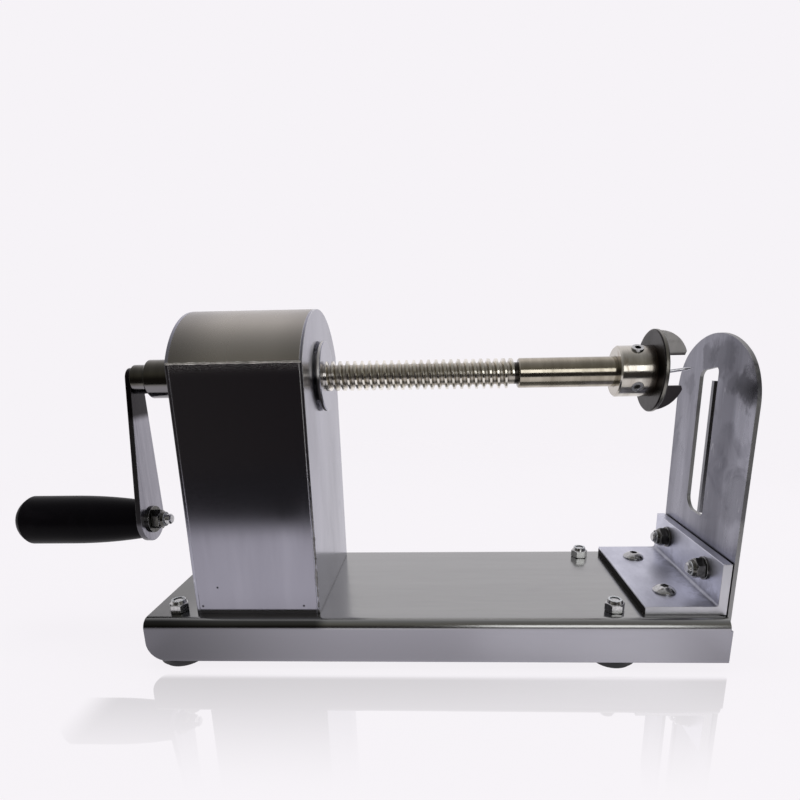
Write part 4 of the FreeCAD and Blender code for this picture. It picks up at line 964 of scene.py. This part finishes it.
def tubeMesh(name, path, radiusAt, sides=8, closed=False):
    # a tube along the points of a path, with its own radius and shift at each ring
    shape = bmesh.new()
    rings = []
    count = len(path)
    for number, point in enumerate(path):
        before = path[number - 1] if number or closed else point
        after = path[(number + 1) % count] if number < count - 1 or closed else point
        along = (after - before).normalized()
        side = along.cross(Vector((0.31, 0.17, 0.93))).normalized()
        other = along.cross(side)
        ring = []
        for step in range(sides):
            angle = 2 * math.pi * step / sides
            reach = radiusAt(number, step)
            ring.append(shape.verts.new(point + (side * math.cos(angle) + other * math.sin(angle)) * reach))
        rings.append(ring)
    for number in range(count if closed else count - 1):
        here, following = rings[number], rings[(number + 1) % count]
        for step in range(sides):
            nextStep = (step + 1) % sides
            shape.faces.new((here[step], here[nextStep], following[nextStep], following[step]))
    if not closed:
        shape.faces.new(rings[0][::-1])
        shape.faces.new(rings[-1])
    bmesh.ops.recalc_face_normals(shape, faces=shape.faces)
    mesh = bpy.data.meshes.new(name)
    shape.to_mesh(mesh)
    shape.free()
    return mesh


def latheMesh(name, profile, centre, axis, steps=32):
    # a closed ring turned from a profile of (out, along) points round an axis through the centre
    shape = bmesh.new()
    turn = Vector((0, 0, 1)).rotation_difference(axis).to_matrix()
    rings = []
    for step in range(steps):
        angle = 2 * math.pi * step / steps
        ring = []
        for out, along in profile:
            spot = Vector((math.cos(angle) * out, math.sin(angle) * out, along))
            ring.append(shape.verts.new(centre + turn @ spot))
        rings.append(ring)
    for step in range(steps):
        here, following = rings[step], rings[(step + 1) % steps]
        for number in range(len(profile)):
            after = (number + 1) % len(profile)
            shape.faces.new((here[number], here[after], following[after], following[number]))
    bmesh.ops.recalc_face_normals(shape, faces=shape.faces)
    mesh = bpy.data.meshes.new(name)
    shape.to_mesh(mesh)
    shape.free()
    return mesh


# weld along the seams of the housing, and the rough fold at its shoulders
weldSettings = {
    "seamRadius": 0.50 * mm,
    "seamSink": 0.22 * mm,
    "seamStep": 0.8 * mm,
    "roughSpread": 0.55,
    "foldRadius": 0.55 * mm,
    "foldSink": 0.30 * mm,
}
weldFinish = {
    "light": rgb(0.40, 0.39, 0.38),
    "dark": rgb(0.06, 0.057, 0.06),
    "stretch": (1.0, 1.0, 1.0),
    "fineness": 900.0,
    "clouding": 0.5,
    "smooth": 0.22,
    "dull": 0.50,
    "depth": 0.3,
    "markScale": 160.0,
    "markColour": rgb(0.05, 0.045, 0.05),
    "markStrength": 0.7,
    "edgeStrength": 0.3,
    "grimeAndShadeGain": 0.3,
}
weldSteel = makeSteel("weldSteel", weldFinish)
foldFinish = {
    **weldFinish, "light": rgb(0.86, 0.84, 0.78), "dark": rgb(0.30, 0.29, 0.27), "markStrength": 0.4,
    "smooth": 0.35, "dull": 0.6,
}
foldSteel = makeSteel("foldSteel", foldFinish)
halfWrap = wrapHigh.y


def addCornerWeld(name, across, side, seed, topHeight):
    # the ragged weld in the lower part of an upright edge, fading out upwards
    step = weldSettings["seamStep"]
    base = trayHigh.z + 0.5 * mm
    count = int((topHeight - base) / step)
    inset = weldSettings["seamSink"]
    path = []
    for number in range(count + 1):
        up = base + number * step
        wander = noise.noise(Vector((seed, up * 300, 1))) * 0.25 * mm
        path.append(Vector((across + wander, side * (halfWrap - inset), up)))

    def radiusAt(number, step):
        point = path[number]
        coarse = noise.noise(Vector((seed, 0, point.z * 180)))
        fine = noise.noise(Vector((seed + 7, 0, point.z * 700)))
        grain = noise.noise(point * 2200 + Vector((step * 0.7, seed, 0)))
        fade = min(1.0, (count - number) / (count * 0.4))
        lump = 1 + weldSettings["roughSpread"] * (coarse + fine) + 0.25 * grain
        return weldSettings["seamRadius"] * max(0.25, lump) * (0.35 + 0.65 * fade)

    addPiece(name, tubeMesh(name, path, radiusAt), "frame", weldSteel)


addCornerWeld("corner_weld_front_right", plateHigh.x - 0.55 * mm, -1, 1.3, 0.105)
addCornerWeld("corner_weld_rear_left", leftLow.x + 0.55 * mm, 1, 2.6, 0.090)


def addFold(name, side, seed):
    step = 0.8 * mm
    count = int((plateHigh.x - leftLow.x - 1.0 * mm) / step)
    inset = weldSettings["foldSink"]
    path = []
    for number in range(count + 1):
        across = leftLow.x + 0.5 * mm + number * step
        wander = noise.noise(Vector((across * 420, seed, 0))) * 0.12 * mm
        path.append(Vector((across, side * (halfWrap - inset), shoulderHeight + wander)))

    def radiusAt(number, step):
        coarse = noise.noise(Vector((path[number].x * 260, seed, 2)))
        grain = noise.noise(path[number] * 2600 + Vector((0, step * 0.8, seed)))
        return weldSettings["foldRadius"] * (1 + 0.35 * coarse + 0.3 * grain)

    addPiece(name, tubeMesh(name, path, radiusAt), "frame", foldSteel)


addFold("shoulder_fold_front", -1, 3.7)
addFold("shoulder_fold_rear", 1, 9.2)
print("housing seams ready")

# nylon rings in the lock nuts, and the threads on the screw ends that stand out of them
nutSettings = {
    "axisGap": 0.02 * mm,
    "ringProud": 0.12 * mm,
    "ringSunk": 0.3 * mm,
    "pitch": 1.0 * mm,
    "ridge": 0.14 * mm,
    "chamfer": 0.7 * mm,
    "radius": 3.0 * mm,
}


def solidBoxes(node):
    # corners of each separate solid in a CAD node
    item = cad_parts[node]
    shape = bmesh.new()
    shape.from_mesh(item.data)
    bmesh.ops.remove_doubles(shape, verts=shape.verts, dist=0.001 * mm)
    seen = set()
    boxes = []
    for vert in shape.verts:
        if vert in seen:
            continue
        front = [vert]
        seen.add(vert)
        low = vert.co.copy()
        high = vert.co.copy()
        while front:
            here = front.pop()
            low = Vector(map(min, low, here.co))
            high = Vector(map(max, high, here.co))
            for edge in here.link_edges:
                other = edge.other_vert(here)
                if other not in seen:
                    seen.add(other)
                    front.append(other)
        boxes.append((low, high))
    shape.free()
    return boxes


def threadPath(centre, axis, radius, start, length, pitch):
    side = axis.orthogonal().normalized()
    other = axis.cross(side)
    steps = int(length / pitch * 20)
    path = []
    for number in range(steps + 1):
        angle = 2 * math.pi * number / 20
        out = side * math.cos(angle) + other * math.sin(angle)
        path.append(centre + out * radius + axis * (start + length * number / steps))
    return path


def dressScrewEnd(name, tip, axis, body, size):
    # ridges of a right-hand thread from the nut's face to the chamfer at the tip
    run = size["show"] - size["chamfer"] - 0.1 * mm
    path = threadPath(tip, axis, size["radius"] - 0.04 * mm, -size["show"] + 0.1 * mm, run, size["pitch"])
    mesh = tubeMesh(name, path, lambda number, step: size["ridge"], sides=6)
    addPiece(name, mesh, body, fastenerSteel)


def dressLockNuts(node, axis, body, outer, inner, show):
    for number, (low, high) in enumerate(solidBoxes(node), start=1):
        centre = (low + high) / 2
        half = max(abs((high - low).dot(axis)) / 2, 0)
        top = centre + axis * half
        ring = [
            (inner, -nutSettings["ringSunk"]),
            (outer, -nutSettings["ringSunk"]),
            (outer - 0.15 * mm, nutSettings["ringProud"] * 0.6),
            (outer - 0.35 * mm, nutSettings["ringProud"]),
            (inner, nutSettings["ringProud"]),
        ]
        label = f"{node}_ring_{number}"
        addPiece(label, latheMesh(label, ring, top, axis), body, nylon)
        if show:
            label = f"{node}_thread_{number}"
            dressScrewEnd(label, top + axis * show, axis, body, {**nutSettings, "show": show})


snug = nutSettings["radius"] + nutSettings["axisGap"]
dressLockNuts("foot_lock_nuts", Vector((0, 0, 1)), "frame", 3.45 * mm, 2.5 * mm, 0)
dressLockNuts("bracket_lock_nuts", Vector((0, 0, -1)), "frame", 4.0 * mm, snug, 2.0 * mm)
dressLockNuts("plate_lock_nuts", Vector((-1, 0, 0)), "frame", 4.0 * mm, snug, 2.0 * mm)
dressLockNuts("grip_nut", Vector((1, 0, 0)), "screw", 4.0 * mm, snug, 3.6 * mm)
print("fasteners dressed")


# floor, light and camera
backdrop = rgb(0.922, 0.896, 0.930)
floorSettings = {
    "reach": 1.4,
    "fadeStart": 0.42,
    "fadeEnd": 0.70,
    "glow": 0.944,
    "paper": rgb(0.05, 0.0487, 0.05),
    "mirror": 0.30,
    "mirrorRough": 0.02,
    "mirrorFade": 0.085,
    "mirrorSide": 0.02,
    "mirrorGap": (0.004, 0.010),
    "frontLight": -0.222,
    "frontDark": -0.300,
}


def makeFloor():
    reach = floorSettings["reach"]
    mesh = bpy.data.meshes.new("floor")
    mesh.from_pydata(
        [(-reach, -reach, 0), (reach, -reach, 0), (reach, reach, 0), (-reach, reach, 0)], [], [(0, 1, 2, 3)]
    )
    floor = bpy.data.objects.new("floor", mesh)
    bpy.context.scene.collection.objects.link(floor)
    material = bpy.data.materials.new("floorPaper")
    material.use_nodes = True
    tree = material.node_tree
    tree.nodes.clear()
    place = put(tree, "TexCoord").outputs["Object"]
    axes = put(tree, "SeparateXYZ", {0: place})
    shares = []
    for number, low, high, fade in (
        (0, trayLow.x, trayHigh.x, floorSettings["mirrorSide"]),
        (1, trayLow.y, trayHigh.y, floorSettings["mirrorFade"]),
    ):
        middle, half = (low + high) / 2, (high - low) / 2
        aside = maths(tree, "ABSOLUTE", maths(tree, "SUBTRACT", axes.outputs[number], middle))
        shares.append(remap(tree, aside, half, half + fade, 1.0, 0.0))
        if number == 1:
            # none of the tray's own underside shows in the strip right at its foot
            inner, outer = floorSettings["mirrorGap"]
            shares[-1] = maths(tree, "MULTIPLY", shares[-1], remap(tree, aside, half + inner, half + outer))
    mirrored = maths(tree, "MULTIPLY", maths(tree, "MULTIPLY", *shares), floorSettings["mirror"])
    path = put(tree, "LightPath")
    ahead = remap(tree, axes.outputs[1], floorSettings["frontDark"], floorSettings["frontLight"], 0.03, 1.0)
    seenInMetal = blendColours(tree, path.outputs["Is Glossy Ray"], rgb(1, 1, 1), ahead)
    glow = put(tree, "Emission", {
        "Color": blendColours(tree, 1.0, backdrop, seenInMetal, "MULTIPLY"), "Strength": floorSettings["glow"],
    })
    paper = put(tree, "BsdfDiffuse", {
        "Color": blendColours(tree, 1.0, floorSettings["paper"], seenInMetal, "MULTIPLY"),
    })
    lit = put(tree, "AddShader", {0: glow.outputs[0], 1: paper.outputs[0]})
    mirror = put(tree, "BsdfGlossy", {"Color": rgb(1, 1, 1), "Roughness": floorSettings["mirrorRough"]})
    glazed = put(tree, "MixShader", {0: mirrored, 1: lit.outputs[0], 2: mirror.outputs[0]})
    away = put(tree, "VectorMath", {0: place}, operation="LENGTH").outputs["Value"]
    far = remap(tree, away, floorSettings["fadeStart"], floorSettings["fadeEnd"])
    clear = put(tree, "BsdfTransparent")
    faded = put(tree, "MixShader", {0: far, 1: glazed.outputs[0], 2: clear.outputs[0]})
    out = put(tree, "OutputMaterial")
    tree.links.new(faded.outputs[0], out.inputs["Surface"])
    mesh.materials.append(material)
    return floor


makeFloor()

roomSettings = {
    "lift": 0.45,
    "tones": [
        (0.0, rgb(0.024, 0.020, 0.021)),
        (0.08, rgb(0.045, 0.040, 0.036)),
        (0.235, rgb(0.20, 0.19, 0.165)),
        (0.50, rgb(0.28, 0.275, 0.27)),
        (0.62, rgb(0.36, 0.355, 0.36)),
        (0.75, rgb(0.54, 0.53, 0.54)),
        (0.92, backdrop),
    ],
}


def makeRoom():
    world = bpy.data.worlds.new("room")
    bpy.context.scene.world = world
    world.use_nodes = True
    tree = world.node_tree
    tree.nodes.clear()
    axes = put(tree, "SeparateXYZ", {0: put(tree, "TexCoord").outputs["Generated"]})
    raised = maths(tree, "MULTIPLY", maths(tree, "MAXIMUM", axes.outputs[2], 0.0), roomSettings["lift"])
    depth = maths(tree, "ADD", axes.outputs[1], raised)
    tone = put(tree, "ValToRGB", {0: remap(tree, depth, -1.0, 1.0, smooth=False)})
    ramp = tone.color_ramp
    while len(ramp.elements) > 1:
        ramp.elements.remove(ramp.elements[-1])
    ramp.elements[0].position, ramp.elements[0].color = roomSettings["tones"][0]
    for position, colour in roomSettings["tones"][1:]:
        ramp.elements.new(position).color = colour
    path = put(tree, "LightPath")
    seen = blendColours(tree, path.outputs["Is Camera Ray"], tone.outputs[0], backdrop)
    light = put(tree, "Background", {"Color": seen, "Strength": 1.0})
    out = put(tree, "OutputWorld")
    tree.links.new(light.outputs[0], out.inputs["Surface"])


makeRoom()

lamps = {
    "overhead": {"at": (0.05, 0.10, 1.10), "to": (0.0, 0.0, 0.10), "size": (0.7, 0.5), "power": 6.0, "mirrored": False},
    "right": {"at": (0.95, -0.10, 0.55), "to": (0.0, 0.0, 0.10), "size": (0.5, 0.7), "power": 5.0, "mirrored": False},
    "left": {"at": (-0.95, -0.30, 0.45), "to": (-0.05, 0.0, 0.08), "size": (0.4, 0.6), "power": 3.0, "mirrored": False},
    "window": {"at": (0.48, -1.45, 0.52), "to": (0.10, 0.0, 0.15), "size": (0.62, 0.62), "power": 2.6, "mirrored": True},
}
for name, lamp in lamps.items():
    light = bpy.data.lights.new(name, "AREA")
    light.shape = "RECTANGLE"
    light.size, light.size_y = lamp["size"]
    light.energy = lamp["power"]
    holder = bpy.data.objects.new(name, light)
    holder.location = lamp["at"]
    holder.visible_glossy = lamp["mirrored"]
    holder.visible_camera = False
    aim = Vector(lamp["to"]) - Vector(lamp["at"])
    holder.rotation_mode = "QUATERNION"
    holder.rotation_quaternion = aim.to_track_quat("-Z", "Y")
    bpy.context.scene.collection.objects.link(holder)

cameraSettings = {
    "beforeRightEnd": 145.3 * mm,
    "away": -299.3 * mm,
    "overTray": 136.0 * mm,
    "yaw": 2.32,
    "pitch": -14.67,
    "roll": -1.09,
    "lens": 24.3,
    "shiftAcross": -0.0269,
    "shiftUp": 0.1094,
}


def makeCamera():
    yaw, pitch, roll = (math.radians(cameraSettings[name]) for name in ("yaw", "pitch", "roll"))
    ahead = Vector((-math.sin(yaw) * math.cos(pitch), math.cos(yaw) * math.cos(pitch), math.sin(pitch)))
    right = Vector((math.cos(yaw), math.sin(yaw), 0))
    up = right.cross(ahead)
    right, up = (
        right * math.cos(roll) + up * math.sin(roll),
        up * math.cos(roll) - right * math.sin(roll),
    )
    data = bpy.data.cameras.new("camera")
    data.lens = cameraSettings["lens"]
    data.sensor_width = 36.0
    data.sensor_fit = "HORIZONTAL"
    data.shift_x = cameraSettings["shiftAcross"]
    data.shift_y = cameraSettings["shiftUp"]
    data.clip_start = 0.01
    data.clip_end = 20.0
    camera = bpy.data.objects.new("camera", data)
    turn = Matrix((right, up, -ahead)).transposed().to_4x4()
    stand = Vector((
        trayHigh.x - cameraSettings["beforeRightEnd"], cameraSettings["away"],
        trayHigh.z + cameraSettings["overTray"],
    ))
    camera.matrix_world = Matrix.Translation(stand) @ turn
    bpy.context.scene.collection.objects.link(camera)
    bpy.context.scene.camera = camera


makeCamera()
bpy.context.scene.view_settings.view_transform = "Standard"
print("floor, light and camera ready")
